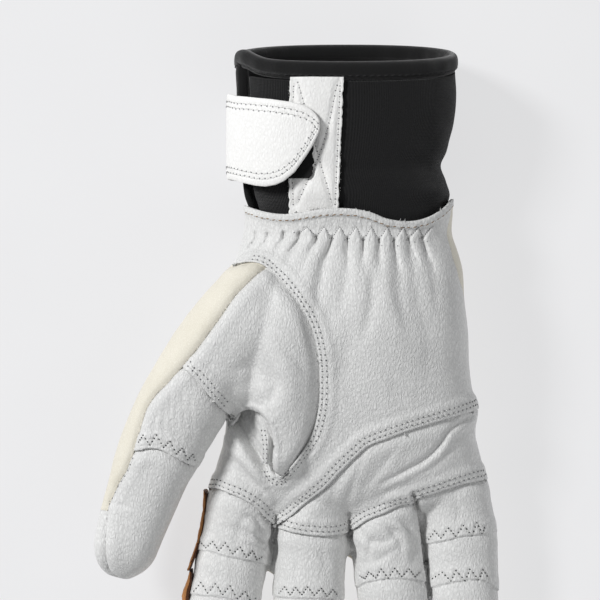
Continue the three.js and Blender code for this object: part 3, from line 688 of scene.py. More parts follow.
class Cutter:
    """A closed block that parts the glove's form; its faces carry the second material."""

    def __init__(self, rings: Sequence[np.ndarray], walls: int = 1) -> None:
        """Skins the block.

        Args:
            rings: its rings of points.
            walls: 0 where the faces it cuts stay in the panel.
        """
        made = bmesh.new()
        skin(made, rings)
        self.mesh = mesh_of(made, "cutter")
        for number in range(2):
            self.mesh.materials.append(side_material(number))
        for face in self.mesh.polygons:
            face.material_index = walls
        self.holder = put("cutter", self.mesh)

    @classmethod
    def upright(cls, outline: np.ndarray, low: float = -12, high: float = 80, walls: int = 1) -> "Cutter":
        """A prism over an outline seen from above; with walls 0 the faces it cuts stay in the panel."""
        return cls([np.column_stack([outline, np.full(len(outline), z)]) for z in (low, high)], walls)

    @classmethod
    def under(cls) -> "Cutter":
        """The block below the line where the back's leather meets the palm's, along the whole glove.

        Returns:
            The block.
        """
        cuff_end, tip_end, floor_z = 84, -142, -20
        stations = np.linspace(cuff_end, tip_end, 120)
        thumb_side, little_side = BACK_TOP_THUMB_SIDE, BACK_TOP_LITTLE_SIDE
        rings = []
        for x, line in ((-130, thumb_side), (19, thumb_side), (21, little_side), (130, little_side)):
            table = np.array(line[::-1], float)
            height = np.interp(stations, table[:, 0], table[:, 1])
            top = np.column_stack([np.full(len(stations), x), stations, height])
            floor = np.array([[x, tip_end, floor_z], [x, cuff_end, floor_z]], float)
            rings.append(np.vstack([top, floor]))
        return cls(rings)

    def cut(self, mesh: bpy.types.Mesh, operation: str) -> bpy.types.Mesh:
        """mesh with this block taken out of it (DIFFERENCE), or only what is inside it (INTERSECT)."""
        return through(mesh, ("BOOLEAN", {"solver": "MANIFOLD", "operation": operation, "object": self.holder}))

    def discard(self) -> None:
        """Removes the block once every cut is made."""
        bpy.data.objects.remove(self.holder)
        bpy.data.meshes.remove(self.mesh)


def side_material(number: int) -> bpy.types.Material:
    """One of the two plain materials that tell skin from cut faces while the panels are parted."""
    name = f"side_{number}"
    return bpy.data.materials.get(name) or bpy.data.materials.new(name)


def offset_line(line: np.ndarray, distance: float) -> np.ndarray:
    """A line moved sideways, to the left of its run, by distance."""
    along = headings(line)
    return line + distance * np.column_stack([-along[:, 1], along[:, 0]])


# ---------------------------------------------------------------- the glove's form


@dataclass(frozen=True)
class GloveForm:
    """The leather hand as one smooth closed form, before it is parted into panels."""

    ring_step: float = 2.0
    ring_sides: int = 72
    limb_step: float = 2.5
    limb_sides: int = 36
    tip_dome: float = 12.0  # the length of a finger's round end
    voxel: float = 0.86
    smoothing: int = 14

    def body_rings(self) -> list[np.ndarray]:
        """Rings of the palm and back.

        Returns:
            An array of points for each ring.
        """
        table = columns(HAND_ROWS[::-1], "y left right back palm")
        shape = oval(around(self.ring_sides))
        rings = []
        for y in np.arange(82, -47, -self.ring_step):
            left, right, back, palm = hermite(table[:, 0], table[:, 1:], np.array([y]))[0]
            x = (left + right) / 2 + (right - left) / 2 * shape[:, 0]
            z = (palm + back) / 2 + (palm - back) / 2 * shape[:, 1]
            rings.append(np.column_stack([x, np.full(self.ring_sides, y), z]))
        return rings

    def limb_rings(self, rows: Sequence[LimbRow]) -> list[np.ndarray]:
        """Rings of a finger: ovals square to its centre line, closing to a round tip.

        Args:
            rows: the finger's centre line and half sizes.

        Returns:
            An array of points for each ring.
        """
        given = columns(rows, "x y z w h")
        chord = run_along(given[:, :3])
        length = chord[-1]
        dome_start = length - self.tip_dome
        stations = [(at, 1.0) for at in np.arange(0, dome_start, self.limb_step)]
        turns = np.linspace(0, math.pi / 2 - 0.12, 9)
        stations += [(dome_start + self.tip_dome * math.sin(turn), math.cos(turn)) for turn in turns]
        rings = []
        for at, share in stations:
            here = hermite(chord, given, np.array([at]))[0]
            ahead, behind = (hermite(chord, given, np.array([min(length, max(0, at + d))]))[0] for d in (0.5, -0.5))
            along = ahead[:3] - behind[:3]
            along /= np.linalg.norm(along)
            side = np.cross(along, (0, 0, 1))
            side /= np.linalg.norm(side)
            over = np.cross(side, along)
            shape = oval(around(self.limb_sides)) * share
            rings.append(here[:3] + shape[:, :1] * side * here[3] + shape[:, 1:] * over * here[4])
        return rings

    def build(self) -> "Form":
        """The whole form, fused and smoothed, then pressed into its gathers and folds.

        Returns:
            The form.
        """
        made = bmesh.new()
        skin(made, self.body_rings())
        for rows in (THUMB, THENAR, WEB, INDEX_CROTCH, MIDDLE_CROTCH, *FINGERS.values()):
            skin(made, self.limb_rings(rows))
        mesh = through(
            mesh_of(made, "form"),
            ("REMESH", {"mode": "VOXEL", "voxel_size": self.voxel, "use_smooth_shade": True}),
            ("SMOOTH", {"factor": 0.5, "iterations": self.smoothing}),
        )
        places = vectors_of(mesh)
        places[:, 2] = np.maximum(places[:, 2], 0.0)
        move_points(mesh, places)
        move_points(mesh, Relief(mesh).moved())
        for number in range(2):
            mesh.materials.append(side_material(number))
        return Form(mesh)


class Form:
    """The finished form with a search tree and its smooth normals."""

    def __init__(self, mesh: bpy.types.Mesh) -> None:
        """Keeps the form's mesh, tree and normals.

        Args:
            mesh: the fused and pressed mesh.
        """
        self.mesh = mesh
        self.tree = tree_of(mesh)
        self.normals = vectors_of(mesh, "normal")

    def normals_at(self, places: np.ndarray) -> np.ndarray:
        """The form's smooth outward directions nearest to points.

        Args:
            places: the points.

        Returns:
            A unit direction for each.
        """
        found = np.empty((len(places), 3))
        polygons = self.mesh.polygons
        for i, place in enumerate(places):
            _, _, face, _ = self.tree.find_nearest(place)
            found[i] = self.normals[list(polygons[face].vertices)].mean(axis=0)
        return found / np.linalg.norm(found, axis=1)[:, None]


class Relief:
    """The gathers, folds, tucks and soft unevenness pressed into the form."""

    def __init__(self, mesh: bpy.types.Mesh) -> None:
        """Reads the form before it is pressed."""
        self.places = vectors_of(mesh)
        self.normals = vectors_of(mesh, "normal")

    def gathers(self) -> np.ndarray:
        """Pleats that the elastic at the wrist pulls in: valleys from its low stitches, fanning out over the palm.

        Returns:
            How far each point moves out.
        """
        x, y, z = self.places.T
        random = np.random.default_rng(11)
        total = np.zeros(len(x))
        across = pulled_in(x, y)
        wander = lattice_noise(np.column_stack([x, y * 0.5, z * 0]), 8, 3)
        for low in LOWS:
            depth, reach = low.share * random.uniform(1.6, 2.7), random.uniform(12, 36)
            down = np.maximum(0, low.y + 0.4 - y)
            width = 0.75 + 0.085 * down
            fade = np.clip(1 - down / reach, 0, 1) ** 1.7
            above = np.where(y > low.y, 0.12 + 0.88 * smoothstep(-y, -(low.y + 1.2), -low.y), 1)
            above *= smoothstep(-y, -71, -65)
            lean = random.uniform(-0.1, 0.1)
            off = across - low.x - lean * down + wander * np.clip(down / 8, 0, 1)
            total -= depth * fade * above * np.exp(-((np.abs(off) / width) ** 1.4))
        # The broad hollows that run down from the gathers across the middle of the palm
        inside = smoothstep(-y, -62, -52)
        total -= 2.0 * np.exp(-(((x - 16 + 0.16 * (60 - y)) / 7) ** 2)) * smoothstep(y, 8, 40) * inside
        total -= 1.3 * np.exp(-(((x - 44) / 6) ** 2)) * smoothstep(y, 10, 42) * inside
        side = smoothstep(self.normals[:, 2], 0.05, 0.5) * smoothstep(z, 22, 34)
        return total * side

    def folds(self) -> np.ndarray:
        """The creases, each a valley with a soft lip beside it.

        Returns:
            How far each point moves out.
        """
        total = np.zeros(len(self.places))
        upward = smoothstep(self.normals[:, 2], 0.0, 0.45)
        wander = np.column_stack([lattice_noise(self.places, 7, 5), lattice_noise(self.places, 7, 6)])
        xy = self.places[:, :2] + wander * 0.7
        for fold in FOLDS:
            line = smooth_line(fold.line, 1.0)
            off, share, beyond = beside_line(line, xy, 5 * fold.reach)
            body = np.sin(math.pi * (0.1 + 0.8 * share)) * np.exp(-((beyond / fold.reach) ** 2))
            steep = np.where(off < 0, 0.75, 1.25) * fold.reach
            valley = -fold.depth * np.exp(-((off / steep) ** 2))
            lip = fold.lip * fold.depth * np.exp(-(((off + 2.1 * fold.reach) / (1.2 * fold.reach)) ** 2))
            total += (valley + lip) * body * upward
        return total

    def unevenness(self) -> np.ndarray:
        """The soft lumps and drag lines of filled leather.

        Returns:
            How far each point moves out.
        """
        x, y, z = self.places.T
        broad = 0.45 * lattice_noise(self.places, 17, 21)
        stretched = np.column_stack([x, y * 0.3, z])
        drag = 0.13 * lattice_noise(stretched, 2.6, 22) * smoothstep(lattice_noise(self.places, 14, 23), -0.3, 0.5)
        return (broad + drag) * smoothstep(z, 1.0, 8.0)

    def moved(self) -> np.ndarray:
        """The form's points with all of the relief."""
        depth = self.gathers() + self.folds() + self.unevenness()
        return self.places + self.normals * depth[:, None]


# ---------------------------------------------------------------- seams


class Seam:
    """A line of sewing: a smooth line seen from above, laid onto the form."""

    def __init__(self, plan: Line, tree: BVHTree) -> None:
        """Lays the line onto the form.

        Args:
            plan: the line seen from above.
            tree: the form's faces.
        """
        self.plan = smooth_line(plan)
        laid = []
        for x, y in self.plan:
            hit = tree.ray_cast(Vector((x, y, 90)), Vector((0, 0, -1)))
            laid.append((*hit[0], *hit[1]) if hit[0] is not None else (x, y, np.nan, 0, 0, 1))
        laid = np.array(laid)
        kept = ~np.isnan(laid[:, 2])
        self.plan, laid = self.plan[kept], laid[kept]
        self.places, self.normals = laid[:, :3], laid[:, 3:]
        for axis in range(3):
            self.normals[:, axis] = np.convolve(np.pad(self.normals[:, axis], 4, "edge"), np.ones(9) / 9, "valid")

    def measure(self, points: np.ndarray) -> tuple[np.ndarray, np.ndarray]:
        """How far points are from the seam, positive to the left of its run, and how far along it they are.

        Args:
            points: the points to measure.

        Returns:
            The distances and the lengths along the seam.
        """
        away = np.empty(len(points))
        run = np.empty(len(points))
        step = run_along(self.places)
        along = np.gradient(self.plan, axis=0)
        for start in range(0, len(points), CHUNK):
            part = points[start:start + CHUNK]
            gap = ((part[:, None] - self.places[None]) ** 2).sum(axis=2)
            near = gap.argmin(axis=1)
            offset = part[:, :2] - self.plan[near]
            side = along[near, 0] * offset[:, 1] - along[near, 1] * offset[:, 0]
            away[start:start + CHUNK] = np.sqrt(gap[np.arange(len(part)), near]) * np.where(side >= 0, 1, -1)
            run[start:start + CHUNK] = step[near]
        return away, run


@dataclass(frozen=True)
class Edge:
    """A line along which a panel is worked.

    side is the side of the seam that the panel is on (1 left, -1 right), or of a step's upper layer.
    """

    seam: Seam
    side: int
    layer: Layer
    hem: float = 4.2
    roll: float = 0.5
    fine: float = 2.6


class Panel:
    """One leather panel, cut from the form and shaped along its seams."""

    def __init__(self, form: Form, steps: Sequence[tuple[Cutter, str]], edges: Sequence[Edge]) -> None:
        """Cuts, refines and shapes the panel.

        Args:
            form: the whole hand.
            steps: the blocks that cut it, in order.
            edges: the lines that it is worked along.
        """
        self.form = form
        self.edges = edges
        mesh = form.mesh
        for cutter, operation in steps:
            mesh = cutter.cut(mesh, operation)
        self.mesh = self.skin_only(mesh)
        self.refine()
        self.shape()

    @staticmethod
    def skin_only(mesh: bpy.types.Mesh) -> bpy.types.Mesh:
        """Takes away the faces that the cutters left, and keeps the largest part.

        Args:
            mesh: the panel as it was cut.

        Returns:
            Its outer skin.
        """
        made = bmesh.new()
        made.from_mesh(mesh)
        bmesh.ops.delete(made, geom=[face for face in made.faces if face.material_index != 0], context="FACES")
        bmesh.ops.remove_doubles(made, verts=made.verts, dist=0.05)
        left = set(made.verts)
        parts = []
        while left:
            front = [left.pop()]
            part = set(front)
            while front:
                for edge in front.pop().link_edges:
                    for vertex in edge.verts:
                        if vertex in left:
                            left.discard(vertex)
                            part.add(vertex)
                            front.append(vertex)
            parts.append(part)
        keep = max(parts, key=len)
        bmesh.ops.delete(made, geom=[vertex for vertex in made.verts if vertex not in keep], context="VERTS")
        for face in made.faces:
            face.smooth = True
        result = bpy.data.meshes.new("panel")
        made.to_mesh(result)
        made.free()
        return result

    def refine(self) -> None:
        """Doubles the mesh's fineness beside the sewn lines."""
        worked = [edge for edge in self.edges if edge.layer is not Layer.BUTT]
        if not worked:
            return
        places = vectors_of(self.mesh)
        near = np.full(len(places), 1e9)
        for edge in worked:
            near = np.minimum(near, np.abs(edge.seam.measure(places)[0]) - edge.fine)
        made = bmesh.new()
        made.from_mesh(self.mesh)
        made.verts.ensure_lookup_table()
        close = [edge for edge in made.edges if near[edge.verts[0].index] < 0 and near[edge.verts[1].index] < 0]
        bmesh.ops.subdivide_edges(made, edges=close, cuts=1, use_grid_fill=True)
        bmesh.ops.triangulate(made, faces=[face for face in made.faces if len(face.verts) > 4])
        made.to_mesh(self.mesh)
        made.free()

    def shape(self) -> None:
        """Raises, tucks and puckers the leather along each line of sewing."""
        places = vectors_of(self.mesh)
        normals = self.form.normals_at(places)
        if (vectors_of(self.mesh, "normal") * normals).sum() < 0:
            self.mesh.flip_normals()
        lift = np.zeros(len(places))
        noise = lattice_noise(places, 11, 31)
        for edge in self.edges:
            away, run = edge.seam.measure(places)
            inward = away * edge.side
            pucker = 0.5 + 0.5 * np.cos(2 * math.pi * run / 2.6 + 2.0 * noise)
            if edge.layer is Layer.OVER:
                band = 1 - smoothstep(inward, edge.hem + 0.5, edge.hem + 3.5)
                rounding = edge.roll * np.clip(1 - inward / (1.6 * edge.roll), 0, 1) ** 2
                rows = np.exp(-(((inward - 1.4) / 0.6) ** 2)) + np.exp(-(((inward - 3.5) / 0.7) ** 2))
                lift += 0.75 * band - rounding - 0.26 * rows * (0.45 + 0.55 * pucker)
                lift += 0.2 * (pucker - 0.5) * np.exp(-np.abs(inward - 4) / 3.0)
            elif edge.layer is Layer.UNDER:
                tucked = np.where(inward < 0.3, 1.0, np.exp(-(np.maximum(inward, 0.3) - 0.3) / 1.2))
                bulge = 0.45 * np.exp(-(((inward - 4.5) / 2.8) ** 2))
                lift += -0.85 * tucked + bulge + 0.16 * (pucker - 0.5) * np.exp(-np.abs(inward) / 2.5)
            elif edge.layer is Layer.STEP:
                upper = 0.5 * (1 - smoothstep(inward, 3.5, 8)) - 0.3 * np.clip(1 - np.abs(inward) / 0.6, 0, 1) ** 2
                lower = -0.4 * np.exp(-np.abs(inward) / 1.3) + 0.25 * np.exp(-(((inward + 5) / 2.6) ** 2))
                share = smoothstep(inward, -0.2, 0.25)
                lift += upper * share + lower * (1 - share)
            elif edge.layer is Layer.SEWN:
                lift -= 0.5 * np.exp(-((away / 0.5) ** 2)) * (0.5 + 0.5 * pucker) * abs(edge.side)
            else:
                lift += -1.1 * np.exp(-((away / 1.0) ** 2)) + 0.5 * np.exp(-(((np.abs(away) - 4.2) / 2.6) ** 2))
        move_points(self.mesh, places + normals * lift[:, None])


# ---------------------------------------------------------------- sewing


class Sewing:
    """Rows of stitches: short threads sunk into the leather, with a small flat disc at each end whose dark colour is
    painted shade of the needle hole.
    """

    def __init__(self, name: str, tree: BVHTree, hole: float = 0.36, thread: float = 0.24) -> None:
        """Starts an empty mesh of stitches.

        Args:
            name: the piece's name.
            tree: the leather's faces.
            hole: a needle hole's radius.
            thread: the thread's radius.
        """
        self.name = name
        self.tree = tree
        self.made = bmesh.new()
        self.reach = thread
        self.thread = self.template(thread)
        self.hole = self.template(hole)
        self.random = np.random.default_rng(len(name))

    @staticmethod
    def template(radius: float) -> bpy.types.Mesh:
        """A small ball that each stitch is stretched from.

        Args:
            radius: its radius.

        Returns:
            Its mesh.
        """
        made = bmesh.new()
        bmesh.ops.create_icosphere(made, subdivisions=1, radius=radius)
        for face in made.faces:
            face.smooth = True
        return mesh_of(made, "stitch")

    def place(self, template: bpy.types.Mesh, matrix: Matrix, material: int) -> None:
        """Adds one copy of a template.

        Args:
            template: the mesh to copy.
            matrix: where it goes.
            material: its material's number.
        """
        before = len(self.made.faces)
        mesh = template.copy()
        mesh.transform(matrix)
        self.made.from_mesh(mesh)
        bpy.data.meshes.remove(mesh)
        self.made.faces.ensure_lookup_table()
        for face in self.made.faces[before:]:
            face.material_index = material

    def on_top(self, point: Vector) -> tuple[Vector, Vector] | None:
        """The outermost leather at a point, and the way it faces.

        Args:
            point: the point.

        Returns:
            The place and its normal, or None away from the leather.
        """
        near, normal, _, _ = self.tree.find_nearest(point)
        if near is None or (near - point).length > 3.5:
            return None
        if normal.z < -0.2:
            normal = -normal
        hit, facing, _, _ = self.tree.ray_cast(near + normal * 4, -normal, 8)
        if hit is None:
            return near, normal
        return hit, facing if facing.dot(normal) > 0 else -facing

    def stitch(self, start: Vector, end: Vector) -> None:
        """One stitch between two needle holes, laid on the leather.

        Args:
            start: the first hole.
            end: the second hole.
        """
        laid = [self.on_top(point) for point in (start, end, (start + end) / 2)]
        if None in laid:
            return
        (a, na), (b, _), (mid, nm) = laid
        along = b - a
        length = along.length
        if not 0.3 < length < 4.5:
            return
        along.normalize()
        side = nm.cross(along).normalized()
        up = along.cross(side)
        turn = Matrix((along, side, up)).transposed().to_4x4()
        stretch = Matrix.Diagonal((max(0.8, (length - 1.0) / (2 * self.reach)), 0.9, 0.6, 1.0))
        self.place(self.thread, Matrix.Translation(mid + up * 0.04) @ turn @ stretch, 0)
        # The needle hole: a flattened ball on the leather, dark with painted shade
        flat = Matrix.Diagonal((1.0, 1.0, 0.5, 1.0))
        self.place(self.hole, Matrix.Translation(a + na * 0.14) @ turn @ flat, 1)

    def row(self, line: np.ndarray, pitch: float, slant: float = 0.22) -> None:
        """Stitches along a 3D line, each a little slanted.

        Args:
            line: the line's points.
            pitch: from stitch to stitch.
            slant: how far each leans.
        """
        run = run_along(line)
        if run[-1] < pitch:
            return
        stops = np.arange(0.4 * pitch, run[-1], pitch)
        knots = np.stack([np.interp(stops, run, line[:, k]) for k in range(3)], axis=1)
        for first, second in zip(knots, knots[1:]):
            lean = slant * self.random.uniform(0.6, 1.4)
            across = Vector(np.cross(second - first, (0, 0, 1))).normalized() * lean
            self.stitch(Vector(first) + across, Vector(second) - across)

    def beside(self, seam: Seam, side: int, inset: float, pitch: float, first: float = 0.0, last: float = 1e9) -> None:
        """A row at an inset from a seam, over the span from first to last along it.

        Args:
            seam: the seam.
            side: 1 for its left, -1 for its right.
            inset: the row's distance from it.
            pitch: from stitch to stitch.
            first: where the row starts.
            last: where it ends.
        """
        along = headings(seam.places)
        across = np.cross(seam.normals, along)
        across /= np.linalg.norm(across, axis=1)[:, None]
        run = run_along(seam.places)
        kept = (run >= first) & (run <= last)
        self.row((seam.places + across * side * inset)[kept], pitch)

    def zigzag(self, corners: Line, per_side: int = 3) -> None:
        """A zigzag through corners seen from above, with per_side stitches to each side of a tooth.

        Args:
            corners: the zigzag's corners.
            per_side: stitches from one corner to the next.
        """
        knots = np.array(corners, float)
        for first, second in zip(knots, knots[1:]):
            stops = np.linspace(0, 1, per_side + 1)
            for a, b in zip(stops, stops[1:]):
                points = []
                for share in (a, b):
                    x, y = first + (second - first) * share
                    points.append(self.tree.ray_cast(Vector((x, y, 90)), Vector((0, 0, -1)))[0])
                if None not in points:
                    self.stitch(*points)

    def finish(self) -> bpy.types.Mesh:
        """The sewing as one mesh.

        Returns:
            The mesh.
        """
        mesh = bpy.data.meshes.new(self.name)
        self.made.to_mesh(mesh)
        self.made.free()
        for template in (self.thread, self.hole):
            bpy.data.meshes.remove(template)
        return mesh


class Fibres:
    """Loose leather fibres that stand off a cut edge."""

    def __init__(self, name: str) -> None:
        """Starts an empty mesh of fibres.

        Args:
            name: the piece's name.
        """
        self.name = name
        self.made = bmesh.new()
        self.random = np.random.default_rng(len(name))

    def fibre(self, start: np.ndarray, heading: np.ndarray, length: float) -> None:
        """One curved fibre, a tube 0.1 mm across that narrows to its end.

        Args:
            start: its root.
            heading: the way it sets off.
            length: its length.
        """
        side = np.cross(heading, (0.2, 0.1, 1.0))
        side /= np.linalg.norm(side)
        over = np.cross(side, heading)
        bend = self.random.normal(0, 0.5, 2)
        rings = []
        for share in np.linspace(0, 1, 5):
            place = start + heading * length * share + (side * bend[0] + over * bend[1]) * length * 0.5 * share**2
            turn = around(4)[:, None]
            rings.append(place + (np.cos(turn) * side + np.sin(turn) * over) * 0.075 * (1 - 0.7 * share))
        skin(self.made, rings)

    def along(self, places: Sequence[tuple[float, float]], way: int, cuff: "Cuff", stand: float, length: float) -> None:
        """Scatters fibres along an edge on the cuff that runs along y and faces left (1) or right (-1).

        Args:
            places: points along the edge.
            way: the side it faces.
            cuff: the cuff.
            stand: the edge's height over the cuff.
            length: the fibres' mean length.
        """
        for x, y in places:
            if self.random.uniform() > 0.45:
                continue
            start = cuff.surface_height(np.array([float(x)]), np.array([float(y)]), stand - 0.6)[0]
            heading = np.array([-way, self.random.normal(0, 0.8), self.random.uniform(0, 0.7)])
            self.fibre(start, heading / np.linalg.norm(heading), length * self.random.uniform(0.4, 1.3))

    def finish(self) -> bpy.types.Mesh:
        """The fibres as one mesh."""
        return mesh_of(self.made, self.name)


# ---------------------------------------------------------------- finishes


def linear(colour: str) -> tuple[float, float, float, float]:
    """An sRGB hex colour as linear light."""
    values = [int(colour[i:i + 2], 16) / 255 for i in (1, 3, 5)]
    return (*[v / 12.92 if v <= 0.04045 else ((v + 0.055) / 1.055) ** 2.4 for v in values], 1.0)


class Shader:
    """Builds a material's nodes one after another."""

    def __init__(self, name: str) -> None:
        """Starts a material with its surface node.

        Args:
            name: the material's name.
        """
        self.material = bpy.data.materials.new(name)
        self.material.use_nodes = True
        self.tree = self.material.node_tree
        self.surface = self.tree.nodes["Principled BSDF"]

    def fill(self, socket: bpy.types.NodeSocket, value: object) -> None:
        """Links a socket to another node's, or gives it a value.

        Args:
            socket: the input to fill.
            value: a value, or another node's socket.
        """
        if isinstance(value, bpy.types.NodeSocket):
            self.tree.links.new(value, socket)
        else:
            socket.default_value = value

    def node(self, kind: str, *first: object, output: int | str = 0, **named: object) -> bpy.types.NodeSocket:
        """Adds a node.

        Args:
            kind: the node's type after ShaderNode.
            first: values or sockets for its first inputs, in order.
            output: which of its outputs is wanted.
            named: settings in small letters; inputs with a capital, _ for a space, or i and a number.

        Returns:
            The output.
        """
        made = self.tree.nodes.new(f"ShaderNode{kind}")
        settings = [key for key in named if key in made.bl_rna.properties]
        for key in settings:
            setattr(made, key, named[key])
        for number, value in enumerate(first):
            self.fill(made.inputs[number], value)
        for key, value in named.items():
            if key not in settings:
                self.fill(made.inputs[int(key[1:]) if key[0] == "i" else key.replace("_", " ")], value)
        return made.outputs[output]

    def set(self, **inputs: object) -> None:
        """Sets the surface's sockets, named with _ for a space."""
        for key, value in inputs.items():
            self.fill(self.surface.inputs[key.replace("_", " ")], value)

    def where(self, stretch: tuple[float, float, float] = (1, 1, 1)) -> bpy.types.NodeSocket:
        """The object's own coordinates in millimetres, stretched."""
        scale = tuple(s / MM for s in stretch)
        return self.node("Mapping", Vector=self.node("TexCoord", output="Object"), Scale=scale)


@dataclass(frozen=True)
class Leather:
    """Leather: soft pebbles with drag creases between them, over a faint change of tone, and painted shade where the
    pebbles meet.
    """

    name: str
    colour: str
    shade: str
    grain: float = 1.0
    grain_depth: float = 1.0
    roughness: float = 0.5
    sheen: float = 0.08

    def material(self) -> bpy.types.Material:
        """Builds the leather's nodes.

        Returns:
            The material.
        """
        shader = Shader(self.name)
        add = shader.node
        where = shader.where((1, 0.5, 1))
        # Full-grain goatskin: pebbles about 1.2 mm apart, longer along the hand, parted by fine creases
        stray = add("TexNoise", Vector=where, Scale=0.6 / self.grain, Detail=2.0, output="Color")
        bent = add("VectorMath", stray, (1.5, 1.5, 1.5), where, operation="MULTIPLY_ADD")
        cell = add("TexVoronoi", feature="DISTANCE_TO_EDGE", Vector=bent, Scale=0.85 / self.grain, output="Distance")
        pebble = add("Math", add("Math", cell, 3.2, operation="MULTIPLY"), 1.0, operation="MINIMUM")
        fine = add("TexNoise", Vector=where, Scale=1.5 / self.grain, Detail=2.0, Roughness=0.55, output="Fac")
        # Stretch creases about 5 mm apart where the hide was pulled
        drag = add("TexNoise", Vector=shader.where((1, 0.42, 1)), Scale=0.2, Detail=2.0, Roughness=0.6, output="Fac")
        crease = add("Math", add("Math", drag, 0.5, operation="SUBTRACT"), 0.0, operation="ABSOLUTE")
        crease = add("Math", crease, 0.045, operation="MINIMUM")
        height = add("Math", fine, 0.9, add("Math", pebble, 0.24, operation="MULTIPLY"), operation="MULTIPLY_ADD")
        height = add("Math", crease, 2.6, height, operation="MULTIPLY_ADD")
        bump = add("Bump", Strength=1.0, Distance=0.00042 * self.grain_depth, Height=height)
        # A faint change of tone over the hide, and painted shade in the fine creases between the pebbles
        tone = add("TexNoise", Vector=shader.where(), Scale=0.06, Detail=3.0, output="Fac")
        # gap paints shade where the pebbles meet
        gap = add("Math", add("Math", 1.0, pebble, operation="SUBTRACT"), 0.5, operation="MULTIPLY")
        share = add("Math", tone, 0.45, gap, operation="MULTIPLY_ADD")
        colour = add("Mix", data_type="RGBA", Factor=share, i6=linear(self.colour), i7=linear(self.shade), output=2)
        rough = add("Math", fine, 0.2, self.roughness - 0.1, operation="MULTIPLY_ADD")
        shader.set(Base_Color=colour, Roughness=rough, Normal=bump, Sheen_Weight=self.sheen)
        shader.set(Sheen_Roughness=0.5, Specular_IOR_Level=0.4)
        return shader.material


@dataclass(frozen=True)
class Knit:
    """Fine knit over foam: columns of small loops along the piece's own UV, in millimetres."""

    name: str
    colour: str
    shade: str
    wale: float = 0.9
    course: float = 0.7
    depth: float = 1.0
    sheen: float = 0.35

    def material(self) -> bpy.types.Material:
        """Builds the knit's nodes.

        Returns:
            The material.
        """
        shader = Shader(self.name)
        add = shader.node
        uv = add("UVMap")
        part = add("SeparateXYZ", Vector=uv).node.outputs
        wander = add("TexNoise", Vector=uv, Scale=0.7, Detail=2.0, output="Fac")
        across = add("Math", wander, 0.25, part[0], operation="MULTIPLY_ADD")
        column = add("Math", add("Math", across, 2 * math.pi / self.wale, operation="MULTIPLY"), operation="SINE")
        lean = add("Math", column, 1.6, operation="MULTIPLY")
        loops = add("Math", part[1], 2 * math.pi / self.course, lean, operation="MULTIPLY_ADD")
        loop = add("Math", add("Math", loops, operation="SINE"), 0.5, operation="MULTIPLY")
        height = add("Math", column, 0.5, loop, operation="MULTIPLY_ADD")
        # Fuzz of loose yarn ends, about 0.5 mm
        fuzz = add("TexNoise", Vector=shader.where(), Scale=2.2, Detail=5.0, Roughness=0.7, output="Fac")
        height = add("Math", fuzz, 1.2, height, operation="MULTIPLY_ADD")
        bump = add("Bump", Strength=0.8, Distance=0.00016 * self.depth, Height=height)
        # The tone follows the fuzz, the yarn's own tone, and a little of the loops' height: raised loops painted
        # lighter and the hollows darker, as painted light and shade
        share = add("Math", fuzz, 0.6, add("Math", height, 0.12, operation="MULTIPLY"), operation="MULTIPLY_ADD")
        colour = add("Mix", data_type="RGBA", Factor=share, i6=linear(self.shade), i7=linear(self.colour), output=2)
        shader.set(Base_Color=colour, Roughness=0.85, Normal=bump, Sheen_Weight=self.sheen)
        shader.set(Sheen_Roughness=0.45, Specular_IOR_Level=0.25)
        return shader.material


@dataclass(frozen=True)
class Plain:
    """Thread, tape or paper: one tone with fine fibres."""

    name: str
    colour: str
    shade: str
    scale: float = 3.0
    bump: float = 0.4
    roughness: float = 0.8
    sheen: float = 0.0

    def material(self) -> bpy.types.Material:
        """Builds the nodes.

        Returns:
            The material.
        """
        shader = Shader(self.name)
        noise = shader.node("TexNoise", Vector=shader.where(), Scale=self.scale, Detail=4.0, output="Fac")
        tones = {"i6": linear(self.colour), "i7": linear(self.shade)}
        colour = shader.node("Mix", data_type="RGBA", Factor=noise, output=2, **tones)
        bump = shader.node("Bump", Strength=self.bump, Distance=0.0002, Height=noise)
        shader.set(Base_Color=colour, Roughness=self.roughness, Normal=bump, Sheen_Weight=self.sheen)
        return shader.material


@dataclass(frozen=True)
class Backdrop:
    """Pale paper lit from behind, so that it stays one even light grey under the glove."""

    name: str

    def material(self) -> bpy.types.Material:
        """Builds the nodes.

        Returns:
            The material.
        """
        shader = Shader(self.name)
        noise = shader.node("TexNoise", Vector=shader.where(), Scale=0.02, Detail=2.0, output="Fac")
        glow = shader.node("Math", noise, 0.02, 0.66, operation="MULTIPLY_ADD")
        shader.set(Base_Color=(0.17, 0.17, 0.175, 1), Roughness=0.9)
        shader.set(Emission_Color=(1, 1, 1.01, 1), Emission_Strength=glow)
        return shader.material


